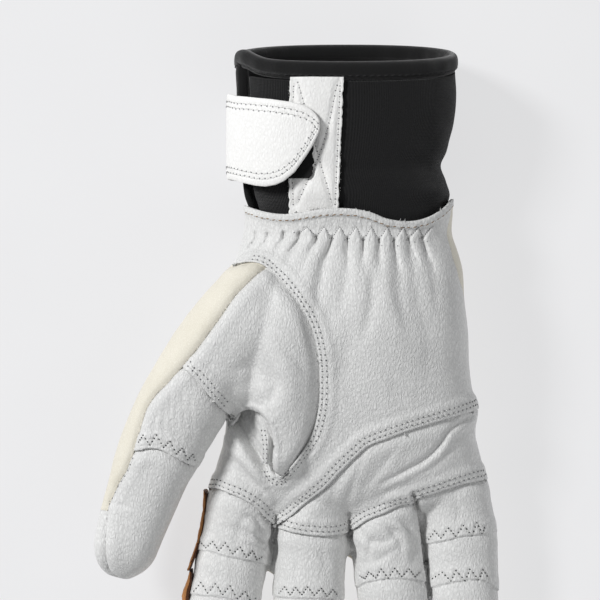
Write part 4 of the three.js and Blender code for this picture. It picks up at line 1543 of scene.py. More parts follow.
class Finish(Enum):
    """The glove's materials."""

    # Full-grain goatskin, tanned white and drummed soft: small pebbles and a low sheen
    WHITE = Leather("white_goat_leather", "#f0f0ef", "#d1d1d0")
    # The same hide in a lighter copy with a shallower grain, for the strap and the cuff's strip: the extra whiteness is
    # painted light
    BRIGHT = Leather("white_leather_painted_light", "#fcfcfb", "#edecea", grain_depth=0.6)
    # Thin suede-like leather: matt, with almost no grain
    BEIGE = Leather("beige_leather", "#f3efe3", "#dad4c3", grain=0.45, grain_depth=0.3, roughness=0.65, sheen=0.2)
    # Thick vegetable-tanned leather, dry and dark brown: its own brown darkened by painted shade, for the guard's half
    # away from the lamp
    TAN = Leather("tan_leather", "#6b3d1d", "#3f2210", grain=0.6, grain_depth=1.3, roughness=0.8)
    # Pale orange with a fibrous bump: painted light for the guard's half toward the lamp
    TAN_LIT = Plain("tan_leather_painted_lit_side", "#cf9660", "#a0652f", scale=2.5, bump=0.8)
    # Polyester knit laid on foam: fine upright ribs of loops, nearly without shine
    KNIT = Knit("black_knit", "#29292a", "#0b0b0c", wale=0.75, course=0.6, depth=1.3, sheen=0.14)
    # Folded elastic tape: a closer knit, a little shinier on its bend
    BINDING = Knit("black_binding", "#19191a", "#0b0b0b", wale=0.5, course=0.45, depth=0.5, sheen=0.3)
    # Moulded nylon hooks: a rough, dull black
    HOOK = Plain("hook_tape", "#141415", "#050505", scale=2.0, bump=1.0, roughness=0.95)
    # Brushed fleece: soft black pile with a faint bloom
    LINING = Plain("fleece_lining", "#1a1a1b", "#060606", scale=1.6, bump=1.0, roughness=1.0, sheen=0.4)
    # Spun polyester thread: matt, with its twist at 1/6 mm
    THREAD = Plain("white_thread", "#efefed", "#d0d0cc", scale=6.0)
    BLACK_THREAD = Plain("black_thread", "#333334", "#19191a", scale=6.0)
    TAN_THREAD = Plain("tan_thread", "#a88a66", "#6e543a", scale=6.0)
    # Needle holes: flat discs painted with the shade in a pricked hole, paler where the thread fills it; the shallow
    # hole's grey also paints shade on the elastic's sunk thread
    HOLE = Plain("needle_hole", "#4a4a4b", "#2c2c2d", scale=6.0)
    SOFT_HOLE = Plain("shallow_needle_hole", "#88888a", "#636365", scale=6.0)
    PALE_HOLE = Plain("faint_needle_hole", "#a9a9aa", "#838385", scale=6.0)
    # Matt background paper
    FLOOR = Backdrop("pale_backdrop")


_MADE: dict[Finish, bpy.types.Material] = {}


def dressed(finish: Finish) -> bpy.types.Material:
    """The material of a finish, made once.

    Args:
        finish: the finish.

    Returns:
        Its material.
    """
    if finish not in _MADE:
        _MADE[finish] = finish.value.material()
    return _MADE[finish]


def show(
    name: str, mesh: bpy.types.Mesh, finishes: Sequence[Finish], replaces: Sequence[str] = (),
) -> bpy.types.Object:
    """Puts a finished mesh in the scene as one piece of the glove.

    Args:
        name: the piece's name.
        mesh: its mesh, in millimetres.
        finishes: its materials in the order of its faces' material numbers.
        replaces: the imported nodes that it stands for.

    Returns:
        The piece.
    """
    mesh.validate()
    mesh.transform(Matrix.Scale(MM, 4))
    parts = np.empty(len(mesh.polygons), dtype=np.int32)
    mesh.polygons.foreach_get("material_index", parts)
    mesh.materials.clear()
    for finish in finishes:
        mesh.materials.append(dressed(finish))
    mesh.polygons.foreach_set("material_index", np.minimum(parts, len(finishes) - 1))
    for face in mesh.polygons:
        face.use_smooth = True
    mesh.name = name
    piece = put(name, mesh)
    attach(piece, "root")
    if replaces:
        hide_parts(*replaces)
    LOG.info("%s: %d faces", name, len(mesh.polygons))
    return piece


# ---------------------------------------------------------------- the leather hand


@dataclass(frozen=True)
class PanelPlan:
    """The blocks that cut a panel from the form (+ keeps what is inside, - takes it out), and its sewn lines."""

    blocks: str
    edges: Sequence[Edge] = ()


@dataclass
class LeatherHand:
    """Every leather panel of the hand, with its sewing."""

    wall: float = 1.3
    hem: float = 3.0  # how far a lower layer runs on under the one above
    pitch: float = 2.2  # from stitch to stitch in the double rows
    above_floor: float = 0.02

    def __post_init__(self) -> None:
        """Makes the form and lays the seams on it."""
        self.form = GloveForm().build()
        LOG.info("form: %d faces", len(self.form.mesh.polygons))
        lines = {
            "wrist": WRIST_EDGE, "arc": THUMB_ARC, "recess": RECESS, "thumb_seam": THUMB_SEAM,
            "thumb_tuck": THUMB_TUCK, "thumb_back": THUMB_BACK_EDGE, "patch": PATCH_EDGE, "index_root": INDEX_ROOT,
            "finger_roots": FINGER_ROOTS, "elastic": ELASTIC, "tuck_teeth": TUCK_TEETH,
        }
        self.seams = {name: Seam(plan, self.form.tree) for name, plan in lines.items()}

    def cutters(self) -> dict[str, Cutter]:
        """The blocks that part the form; corners beyond 100 from the middle are outside the glove.

        Returns:
            The blocks by name.
        """
        hem = self.hem
        arc, recess, side = (smooth_line(line) for line in (THUMB_ARC, RECESS, THUMB_SIDE))
        outer = np.array([(-130, -100), (-130, 46)], float)
        patch, index_root, roots = (smooth_line(line) for line in (PATCH_EDGE, INDEX_ROOT, FINGER_ROOTS))
        wrist = smooth_line(WRIST_EDGE)
        palm_side = [[110, 84], [110, -2]]
        tips = [[110, -30], [110, -150], [-130, -150], [-130, -34]]
        seam, tuck, back = (smooth_line(line) for line in (THUMB_SEAM, THUMB_TUCK, THUMB_BACK_EDGE))
        outlines = {
            "zone": [arc, recess[1:], side[1:], outer],
            "grown_zone": [offset_line(arc, hem)[:-3], recess, side[1:], outer + (0, hem)],
            "palm_zone": [arc[:-2], smooth_line(UNDER_LIP), side[1:], outer],
            "palm": [wrist, palm_side, patch, index_root[::-1][1:], [[-130, -37.5], [-130, 82]]],
            "knuckles": [offset_line(patch, -hem), [[-12, -52.5]], roots[1:], [[110, -33], [110, 2]]],
            "lower": [offset_line(index_root, hem), offset_line(roots, hem)[4:], tips],
            "above_seam": [seam, [[-10, -34], [40, -60], [60, 90], [-130, 90], [-130, 40]]],
            "below_seam": [offset_line(seam, hem), [[-10, -30], [-10, -120], [-130, -120], [-130, 40]]],
            "above_tuck": [tuck, [[20, -60], [60, 90], [-130, 90], [-130, -20]]],
            "below_tuck": [offset_line(tuck, hem), [[-20, -60], [-20, -120], [-130, -120], [-130, -16]]],
            "thumb_tip": [[[-130, -120], [-20, -120], [-20, -45.2], [-130, -45.2]]],
            "back": [[*BACK_EDGE, (110, 70), (110, -46), (-130, -46), (-130, 61)]],
            "back_fingers": [[(110, -46), (110, -150), (-130, -150), (-130, -46)]],
        }
        made = {name: Cutter.upright(np.vstack(parts).astype(float)) for name, parts in outlines.items()}
        white = np.vstack([back, [[-60, -110], [60, -110], [60, 80], [-9, 80]]])
        made["thumb_white"] = Cutter.upright(white, low=24)
        made["under"] = Cutter.under()
        before = ((-130, -20), (-130, -150))
        for finger, line in BETWEEN.items():
            sides = np.vstack([smooth_line(line, 2.0), smooth_line(before, 2.0)[::-1]])
            made[finger] = Cutter.upright(sides, walls=0)
            before = line
        return made

    def finger_edges(self, finger: str) -> list[Edge]:
        """The lines that a finger's front is worked along: its root, its lapped steps and its hidden side.

        Args:
            finger: the finger's name.

        Returns:
            Its edges.
        """
        tree = self.form.tree
        edges = [Edge(self.seams["index_root" if finger == "index" else "finger_roots"], -1, Layer.UNDER)]
        for band in BANDS:
            if band.finger == finger:
                edges.append(Edge(Seam(band.edge, tree), 1, Layer.STEP))
                edges.append(Edge(Seam(band.zigzag, tree), 1, Layer.SEWN))
        beside_gap = {"ring": -1, "little": 1}
        if finger in beside_gap:
            edges.append(Edge(Seam(BETWEEN["ring"][1:], tree), beside_gap[finger], Layer.UNDER, fine=2))
        return edges

    def cut_panels(self) -> dict[str, Panel]:
        """Parts the form into its panels.

        Returns:
            The panels by the names of their nodes.
        """
        seams, over, under, butt, sewn = self.seams, Layer.OVER, Layer.UNDER, Layer.BUTT, Layer.SEWN
        plans = {
            "palm_panel": PanelPlan("+palm -under -palm_zone", (
                Edge(seams["wrist"], -1, over, 1.2, 0.9), Edge(seams["arc"], 1, over), Edge(seams["patch"], -1, over),
                Edge(seams["index_root"], 1, over), Edge(seams["elastic"], 0, sewn, fine=8))),
            "knuckle_patch": PanelPlan("+knuckles -under", (
                Edge(seams["patch"], 1, under), Edge(seams["finger_roots"], 1, over))),
            "thenar_panel": PanelPlan("+grown_zone +above_seam +thumb_white -under", (
                Edge(seams["arc"], -1, under), Edge(seams["recess"], -1, over, 1.0, 1.5),
                Edge(seams["thumb_seam"], 1, over), Edge(seams["thumb_back"], 1, butt))),
            "thumb_middle": PanelPlan("+zone +below_seam +above_tuck +thumb_white", (
                Edge(seams["thumb_seam"], -1, under), Edge(seams["thumb_tuck"], 1, over, 4.0, 0.5),
                Edge(seams["thumb_back"], 1, butt), Edge(seams["tuck_teeth"], 1, sewn))),
            "thumb_tip": PanelPlan("+zone +below_tuck +thumb_white", (
                Edge(seams["thumb_tuck"], -1, under), Edge(seams["thumb_back"], 1, butt))),
            "thumb_back": PanelPlan("+grown_zone -thumb_white -thumb_tip", (
                Edge(seams["thumb_back"], -1, butt), Edge(seams["arc"], -1, under))),
            "thumb_tip_back": PanelPlan("+zone -thumb_white +thumb_tip", (Edge(seams["thumb_back"], -1, butt),)),
            "back_panel": PanelPlan("+back +under -zone"),
        }
        for finger in FINGERS:
            front = f"+lower +{finger} -under -zone"
            plans[f"{finger}_front"] = PanelPlan(front, self.finger_edges(finger))
            plans[f"{finger}_back"] = PanelPlan(f"+back_fingers +{finger} +under -zone")
        cutters = self.cutters()
        signs = {"+": "INTERSECT", "-": "DIFFERENCE"}
        panels = {}
        for node, plan in plans.items():
            steps = [(cutters[word[1:]], signs[word[0]]) for word in plan.blocks.split()]
            panels[node] = Panel(self.form, steps, plan.edges)
        for cutter in cutters.values():
            cutter.discard()
        self.sink(panels["palm_panel"].mesh)
        self.pleat(panels["palm_panel"].mesh)
        return panels

    def sink(self, mesh: bpy.types.Mesh) -> None:
        """Sinks the palm's leather beside the thenar's rolled lip: a hollow in the thumb's crotch, then a narrow slit.

        Args:
            mesh: the palm panel, which is changed.
        """
        places = vectors_of(mesh)
        xy = places[:, :2]
        brink, _, past = beside_line(smooth_line(RECESS_BRINK, 0.5), xy, 26)
        lip, _, _ = beside_line(smooth_line(RECESS, 0.5), xy, 26)
        share = np.where(lip <= 0, 1.0, np.clip(brink, 0, None) / (np.clip(brink, 0, None) + np.abs(lip) + 1e-6))
        inside = (brink > 0) & (brink < 100) & (lip < 100) & (past < 6)
        inside = np.where(inside, smoothstep(-xy[:, 0], 3.4, 4.8), 0.0)
        corner = smoothstep(np.hypot(xy[:, 0] + 7.8, xy[:, 1] + 32.4), 0.4, 3.0)
        wide = smoothstep(xy[:, 1], -20.5, -12.5)
        run = xy @ np.array([0.83, 0.55])
        ridges = 0.35 * np.cos(2 * math.pi * run / 2.1 + lattice_noise(places, 4, 8))
        ridges *= np.sin(math.pi * np.clip(share, 0, 1))
        bank = -6.6 * smoothstep(brink, 0.0, 3.6) * smoothstep(xy[:, 1], -32.5, -27)
        hollow = -4.0 * share**2.2
        slit = -3.6 * (1 - smoothstep(lip, 0.4, 1.5)) + 0.5 * np.exp(-(((lip - 2.6) / 1.0) ** 2))
        depth = bank + ridges + hollow * wide + slit * (1 - wide)
        back_up = smoothstep(-lip, 0.8, 3.0)
        depth = depth * (1 - back_up) - 1.7 * back_up
        ridge = 1.3 * np.exp(-(((brink + 1.5) / 1.5) ** 2)) * smoothstep(-past, -2, 0)
        ridge *= smoothstep(xy[:, 1], -36, -29)
        places[:, 2] += (depth * inside * corner + np.where(brink < 0, ridge, 0)) * (places[:, 2] > 20)
        move_points(mesh, places)

    def pleat(self, mesh: bpy.types.Mesh) -> None:
        """Works the elastic's zigzag into the palm panel, and the sharp creases that start at its low stitches.

        Args:
            mesh: the palm panel, which is changed.
        """
        places = vectors_of(mesh)
        x, y, z = places.T
        random = np.random.default_rng(5)
        off, _, beyond = beside_line(smooth_line(ELASTIC, 0.3), places[:, :2], 9)
        near = np.where(np.abs(off) < 100, 1.0, 0.0) * np.exp(-beyond / 1.5)
        below = np.minimum(off, 0.0)
        puffed = 0.75 * np.exp(below / 4.5) * (1 - np.exp(below / 0.45))
        depth = near * (puffed - 0.5 * np.exp(-np.abs(off) / 0.35))
        across = pulled_in(x, y)
        wander = 0.9 * lattice_noise(np.column_stack([x, y * 0.6, y * 0]), 5, 3)
        for low in LOWS:
            reach = random.uniform(7, 17)
            lean = random.uniform(-0.12, 0.12)
            down = low.y + 0.5 - y
            fade = np.where(down < 0, smoothstep(down, -0.8, 0), np.clip(1 - down / reach, 0, 1) ** 0.8)
            aside = across - low.x - lean * np.maximum(0, down) + wander * np.clip(down / 8, 0, 1)
            depth -= 1.6 * fade * np.exp(-np.abs(aside) / (0.3 + 0.02 * np.clip(down, 0, 20)))
        places[:, 2] += depth * (z > 30)
        move_points(mesh, places)

    def sew(self, panels: dict[str, Panel]) -> None:
        """Sews the panels together.

        Args:
            panels: the panels by name.
        """
        joined = bmesh.new()
        for panel in panels.values():
            joined.from_mesh(panel.mesh)
        tree = BVHTree.FromBMesh(joined)
        joined.free()
        seams = self.seams
        palm = Sewing("palm_stitching", tree)
        for number in range(2):
            for row in DOUBLE_ROWS:
                palm.beside(seams[row.seam], row.side, row.insets[number], self.pitch, row.first, row.last)
        for shift in (0, 1.3):  # the two rows that run down the thumb's crotch and round its foot
            down = [(-15 + shift, -14), (-14.2 + shift, -20), (-14.2 + shift, -26), (-13.6 + shift, -31.2)]
            foot = [(-11.4 + shift / 2, -34.2 + shift), (-8.2, -35.2 + shift), (-4.2, -33 + shift)]
            palm.zigzag(smooth_line(down + foot, 1.8), 1)
        palm.beside(seams["thumb_back"], 1, 1.2, 2.6, first=100, last=130)
        bands = Sewing("zigzag_stitching", tree)
        for teeth in (TUCK_TEETH, *(band.zigzag for band in BANDS)):
            bands.zigzag(teeth)
        # The elastic's thread takes the grey of the shallow needle holes: painted shade of the groove it is sunk in
        elastic = Sewing("elastic_stitching", tree, hole=0.24, thread=0.2)
        elastic.zigzag(ELASTIC)
        wrist = Sewing("wrist_stitching", tree, hole=0.2, thread=0.26)
        wrist.beside(seams["wrist"], -1, 2.3, 2.7)
        for sewing, finishes in (
            (palm, (Finish.THREAD, Finish.SOFT_HOLE)), (bands, (Finish.THREAD, Finish.HOLE)),
            (elastic, (Finish.SOFT_HOLE, Finish.HOLE)), (wrist, (Finish.TAN_THREAD, Finish.PALE_HOLE)),
        ):
            show(sewing.name, sewing.finish(), finishes)

    def build(self) -> None:
        """Cuts, sews and shows every panel."""
        panels = self.cut_panels()
        self.sew(panels)
        beige = {"back_panel", "thumb_back", *(f"{finger}_back" for finger in FINGERS)}
        for node, panel in panels.items():
            mesh = through(panel.mesh, ("SOLIDIFY", {"thickness": self.wall, "offset": -1.0, "use_even_offset": False}))
            places = vectors_of(mesh)
            places[:, 2] = np.maximum(places[:, 2], self.above_floor)
            move_points(mesh, places)
            finish, slot = (Finish.BEIGE, "beige_leather") if node in beige else (Finish.WHITE, "white_goat_leather")
            piece = show(f"{node}_leather", mesh, (finish,), (node,))


# ---------------------------------------------------------------- the index finger's guard


@dataclass(frozen=True)
class Guard:
    """The thick tan leather guard on the index finger's side, seen on its cut edge.

    Each length lies between an inner and an outer line seen from above.
    """

    upper: tuple[Line, Line] = (
        ((-37.2, -38.6), (-36.7, -39.1), (-36.75, -46), (-37.5, -53.5), (-39.8, -59.7), (-43.5, -70.2)),
        ((-38.2, -38.6), (-38.3, -39.7), (-38.4, -46.1), (-39.9, -54.3), (-42, -62.5), (-44.9, -70.2)),
    )
    lower: tuple[Line, Line] = (
        ((-42.6, -70.4), (-42.6, -75.3), (-43.7, -80), (-44.2, -90), (-45.3, -103)),
        ((-44, -70.8), (-44.5, -73.6), (-46.9, -80), (-46.6, -90), (-47.2, -103)),
    )
    sides: int = 40
    ring_step: float = 0.7
    least_half: float = 0.75  # half of the thinnest leather

    def piece(self, node: str, lines: tuple[Line, Line]) -> None:
        """Makes and shows one length of the guard.

        Args:
            node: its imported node.
            lines: its inner and outer line.
        """
        low, high = (corner.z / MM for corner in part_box(node))
        inner, outer = (np.array(line, float) for line in lines)
        stations = np.arange(inner[0, 1], inner[-1, 1], -self.ring_step)
        wide, deep = rounded(around(self.sides), 0.4, 0.25)
        rings = []
        for y in stations:
            right, left = (np.interp(-y, -line[:, 1], line[:, 0]) for line in (inner, outer))
            end = min(1.0, 0.78 + 0.3 * min(stations[0] - y, y - stations[-1]))
            middle, half = (left + right) / 2, max(self.least_half, (right - left) / 2) * end
            z = (high + low) / 2 + (high - low) / 2 * end * deep
            rings.append(np.column_stack([middle + half * wide, np.full(self.sides, y), z]))
        made = bmesh.new()
        skin(made, rings)
        mesh = mesh_of(made, node)
        places = vectors_of(mesh)
        places[:, 0] += 0.28 * lattice_noise(places * (1, 1, 0.4), 1.7, 61) + 0.2 * lattice_noise(places, 5, 62)
        places[:, 2] += 0.5 * lattice_noise(places, 2.2, 63)
        move_points(mesh, places)
        # Faces right of the middle line take the dark brown as painted shade; faces on the left, toward the lamp, take
        # the pale orange as painted light
        for face in mesh.polygons:
            x, y, _ = face.center
            right, left = (np.interp(-y, -line[:, 1], line[:, 0]) for line in (inner, outer))
            face.material_index = 1 if x > (left + right) / 2 - 0.1 else 0
        show(f"{node}_leather", mesh, (Finish.TAN_LIT, Finish.TAN), (node,))

    def build(self) -> None:
        """Makes both lengths."""
        self.piece("index_guard_upper", self.upper)
        self.piece("index_guard_lower", self.lower)


# ---------------------------------------------------------------- the cuff


@dataclass
class Cuff:
    """The knit cuff with its binding, white strip and hook tab."""

    wall: float = 2.2
    low: float = 60.5
    mouth: float = 126.6
    columns_round: int = 260
    rows_along: int = 74
    girth_radius: float = 36.0  # turns angles round the cuff to millimetres of knit
    binding_half_thick: float = 2.5
    binding_half_high: float = 3.65
    binding_rise: float = 4.05
    strip_outline: tuple = ((69.0, -4.0, 15.0), (73, -3.9, 14.8), (99, -4.6, 15.8), (123.0, -3.5, 16.8))
    hook_outline: tuple = ((84, -9, 3.4), (85, -11.5, 4.4), (88, -12, 5.1), (99, -12, 5.1), (102, -11, 3))

    def __post_init__(self) -> None:
        """Sorts the cuff's rings by their mean length."""
        table = columns(CUFF_ROWS, "palm_y back_y left right back palm")
        mean = (table[:, 0] + table[:, 1]) / 2
        order = np.argsort(mean)
        self.knots, self.table = mean[order], table[order]

    def point(self, at: np.ndarray, angle: np.ndarray, stand: np.ndarray | float = 0.0) -> np.ndarray:
        """Points of the cuff's outside at mean lengths and angles, pushed out by a stand-off.

        Args:
            at: the mean lengths.
            angle: the angles round the cuff.
            stand: how far out.

        Returns:
            The points.
        """
        palm_y, back_y, left, right, back, palm = hermite(self.knots, self.table, np.atleast_1d(at)).T
        u, v = oval(np.atleast_1d(angle)).T
        x = (left + right) / 2 + ((right - left) / 2 + stand) * u
        z = (palm + back) / 2 + ((palm - back) / 2 + stand) * v
        return np.column_stack([x, back_y + (palm_y - back_y) * (v + 1) / 2, z])

    def knit(self) -> None:
        """The knit tube, open at its mouth and along the slit at the thumb's side."""
        angles = np.radians((151.5, -187))
        made = bmesh.new()
        bmesh.ops.create_grid(made, x_segments=self.columns_round - 1, y_segments=self.rows_along - 1, size=1)
        made.verts.ensure_lookup_table()
        layer = made.loops.layers.uv.new("UVMap")
        grid = np.array([vertex.co[:2] for vertex in made.verts])
        angle = np.interp(grid[:, 0], (-1, 1), angles)
        at = np.interp(grid[:, 1], (-1, 1), (self.low, self.mouth))
        places = self.point(at, angle)
        soft = 0.5 * lattice_noise(places, 16, 41) + 0.25 * lattice_noise(places, 7, 42)
        waist = 0.3 * np.exp(-(((at - 90.5 - 1.2 * np.sin(angle * 3)) / 3.0) ** 2))
        waist -= 0.3 * np.exp(-(((at - 96) / 3.5) ** 2))
        for vertex, place in zip(made.verts, self.point(at, angle, soft - waist)):
            vertex.co = place
        for face in made.faces:
            for loop in face.loops:
                i = loop.vert.index
                loop[layer].uv = (angle[i] * self.girth_radius, at[i])
        mesh = through(mesh_of(made, "knit"), ("SOLIDIFY", {"thickness": self.wall, "offset": -1.0}))
        piece = show("knit_cuff_fabric", mesh, (Finish.KNIT,), ("knit_cuff",))

    def binding_frames(self) -> tuple[list[np.ndarray], list[np.ndarray], list[np.ndarray]]:
        """The binding's centre line, with its outward and free-edge directions, round the mouth and down the slit.

        Returns:
            The places, the outward directions and the free-edge directions.
        """
        places, outs, edges = [], [], []
        for degrees in np.linspace(177, -184, 160):
            angle = math.radians(degrees)
            base = self.point(np.array([126.5]), np.array([angle]), -1.0)[0]
            outer = self.point(np.array([126.5]), np.array([angle]), 0.0)[0]
            out = (outer - base) * (1, 0, 1)
            rise = 2.5 * math.exp(-(((degrees - 160) / 17) ** 2))
            places.append(base + (0, self.binding_rise + rise, 0))
            outs.append(out / np.linalg.norm(out))
            edges.append(np.array([0.0, 1.0, 0.0]))
        turn = places[-1]
        for share in np.linspace(0.1, 1, 10):
            angle = math.pi / 2 * share
            edge = np.array([0.0, math.cos(angle), math.sin(angle)])
            place = turn + edge * 4.0 - (0, 4.0, 0)
            place[0] = turn[0] + (-22.6 - turn[0]) * share
            places.append(place)
            outs.append(np.array([-1.0, 0.0, 0.0]))
            edges.append(edge)
        top = places[-1]
        for share in np.linspace(0.06, 1, 16):
            places.append(np.array([top[0] + 0.3 * math.sin(share * 5), top[1] + (92.4 - top[1]) * share, top[2]]))
            outs.append(outs[-1])
            edges.append(edges[-1])
        return places, outs, edges

    def binding(self) -> None:
        """The binding, folded over the mouth's edge and sewn through near its lower edge."""
        places, outs, edges = self.binding_frames()
        thick, high = rounded(around(28), 0.75, 0.85)
        rings = []
        for i, (place, out, edge) in enumerate(zip(places, outs, edges)):
            wave = 0.12 * math.sin(i * 0.9) + 0.1 * math.sin(i * 0.37)
            pinch = np.where(high < -0.3, 0.34 * np.exp(-(((high + 0.7) / 0.14) ** 2)), 0)
            across = (self.binding_half_thick + wave) * thick * (1 - pinch)
            rings.append(place + across[:, None] * out + (self.binding_half_high * high)[:, None] * edge)
        made = bmesh.new()
        skin(made, rings)
        made.loops.layers.uv.new("UVMap")
        mesh = mesh_of(made, "binding")
        uv = mesh.uv_layers[0].data
        for loop in mesh.loops:
            place = mesh.vertices[loop.vertex_index].co
            uv[loop.index].uv = (math.atan2(place.z - 29, place.x - 18) * self.girth_radius, place.y * 1.4)
        sewing = Sewing("binding_stitching", tree_of(mesh), 0.3, 0.3)
        row = [place + out * 2.4 - edge * 2.7 for place, out, edge in zip(places[:160], outs, edges)]
        sewing.row(np.array(row), 2.8)
        show("cuff_binding_fabric", mesh, (Finish.BINDING,), ("cuff_binding",))
        # The binding's needle holes are discs in the hook tape's black, as painted shade
        show("binding_stitching", sewing.finish(), (Finish.BLACK_THREAD, Finish.HOOK))

    def laid_layer(self, rows: Sequence, stand: float, thick: float, ragged: float) -> bpy.types.Mesh:
        """A thin layer laid on the palm side of the cuff.

        Args:
            rows: its outline, as (length, left, right).
            stand: how far its underside stands off the cuff.
            thick: its thickness.
            ragged: how far its long edges stray.

        Returns:
            Its mesh.
        """
        outline = np.array(rows, float)
        made = bmesh.new()
        bmesh.ops.create_grid(made, x_segments=28, y_segments=60, size=1)
        grid = np.array([vertex.co[:2] for vertex in made.verts])
        y = np.interp(grid[:, 1], (-1, 1), (outline[0, 0], outline[-1, 0]))
        left, right = (np.interp(y, outline[:, 0], outline[:, k]) for k in (1, 2))
        share = (grid[:, 0] + 1) / 2
        stray = lattice_noise(np.column_stack([y, share * 0, share * 0]), 1.1, 51) * ragged
        x = left + (right - left) * share + stray * np.where(share < 0.5, 1, -1) * (np.abs(share - 0.5) * 2) ** 6
        for vertex, place in zip(made.verts, self.surface_height(x, y, stand)):
            vertex.co = place
        return through(mesh_of(made, "layer"), ("SOLIDIFY", {"thickness": thick, "offset": 1.0}))

    def surface_height(self, x: np.ndarray, y: np.ndarray, stand: float) -> np.ndarray:
        """Points over the palm side of the cuff at places seen from above.

        Args:
            x: across.
            y: along.
            stand: how far off the cuff.

        Returns:
            The points.
        """
        angle = np.full(len(x), math.pi / 2)
        at = np.array(y, float)
        for _ in range(14):
            here = self.point(at, angle, stand)
            angle = np.clip(angle - (x - here[:, 0]) / 42, 0.15, math.pi - 0.15)
            at = at + (y - here[:, 1]) * 0.8
        return self.point(at, angle, stand)

    def strip(self) -> None:
        """The white leather strip down the cuff, with its edge rows and crossed rows of stitches."""
        mesh = self.laid_layer(self.strip_outline, stand=0.5, thick=0.9, ragged=0.3)
        lines = (
            ((-2.6, 74), (-3.3, 99), (-2.3, 121.4)), ((13.6, 74), (14.6, 99), (15.5, 121.4)),
            ((-0.8, 120.8), (12.4, 74)), ((14.2, 119.6), (9.2, 98), (-1.2, 74)),
        )
        places = vectors_of(mesh)
        pressed = np.zeros(len(places))
        for line in lines:
            off, _, beyond = beside_line(smooth_line(line, 1.0), places[:, :2], 4)
            pressed = np.maximum(pressed, np.exp(-((off / 0.9) ** 2) - (beyond / 2) ** 2))
        places[:, 2] += 0.35 - 0.7 * pressed
        move_points(mesh, places)
        sewing = Sewing("strip_stitching", tree_of(mesh), 0.3, 0.24)
        for line in lines:
            sewing.zigzag(smooth_line(line, 2.1), 1)
        fibres = Fibres("strip_fibres")
        for x, way in ((-4, 1), (15.4, -1)):
            fibres.along([(x, at) for at in np.arange(76, 121, 0.55)], way, self, stand=1.6, length=0.7)
        # The strip takes the lighter copy of the white leather, as painted light
        piece = show("cuff_strip_leather", mesh, (Finish.BRIGHT,), ("cuff_strip",))
        on_it = [
            show("strip_stitching", sewing.finish(), (Finish.THREAD, Finish.SOFT_HOLE)),
            show("strip_fibres", fibres.finish(), (Finish.THREAD,)),
        ]

    def hook_tab(self) -> None:
        """The corner of hook tape that shows under the strap's end."""
        mesh = self.laid_layer(self.hook_outline, stand=1.7, thick=1.0, ragged=0.5)
        show("hook_tab_tape", mesh, (Finish.HOOK,), ("hook_tab",))

    def build(self) -> None:
        """Makes every piece of the cuff."""
        self.knit()
        self.binding()
        self.strip()
        self.hook_tab()


@dataclass(frozen=True)
class StrapRow:
    """How far the strap stands off the cuff at an angle round it, 90 being the palm."""

    angle: float
    stand: float


STRAP_ROWS = (
    StrapRow(92, 3.9), StrapRow(104, 3.8), StrapRow(116, 3.9), StrapRow(128, 4.0), StrapRow(142, 4.0),
    StrapRow(155, 3.9), StrapRow(168, 3.5), StrapRow(182, 3.1), StrapRow(196, 2.6), StrapRow(210, 1.6),
    StrapRow(225, 0.9), StrapRow(240, 0.5), StrapRow(256, 0.4),
)
STRAP_TOP = (
    (-32, 118.8), (-29, 118.3), (-24.4, 116.4), (-16.4, 115.2), (-10.7, 114.5), (-3.2, 113.3), (2.3, 111.6),
    (4.4, 110.3), (6.1, 108.7), (7.2, 106.9), (7.7, 105.6), (8, 104.6),
)
STRAP_BOTTOM = (
    (-32, 84.5), (-27.5, 84.2), (-21.8, 82.4), (-17, 81.2), (-13.3, 80.8), (-9.5, 81.4), (-6.3, 82.8), (-2, 86.3),
    (2.3, 92.3), (4.4, 95.6), (6.1, 98.9), (7.2, 101.4), (7.7, 103), (8, 104.2),
)


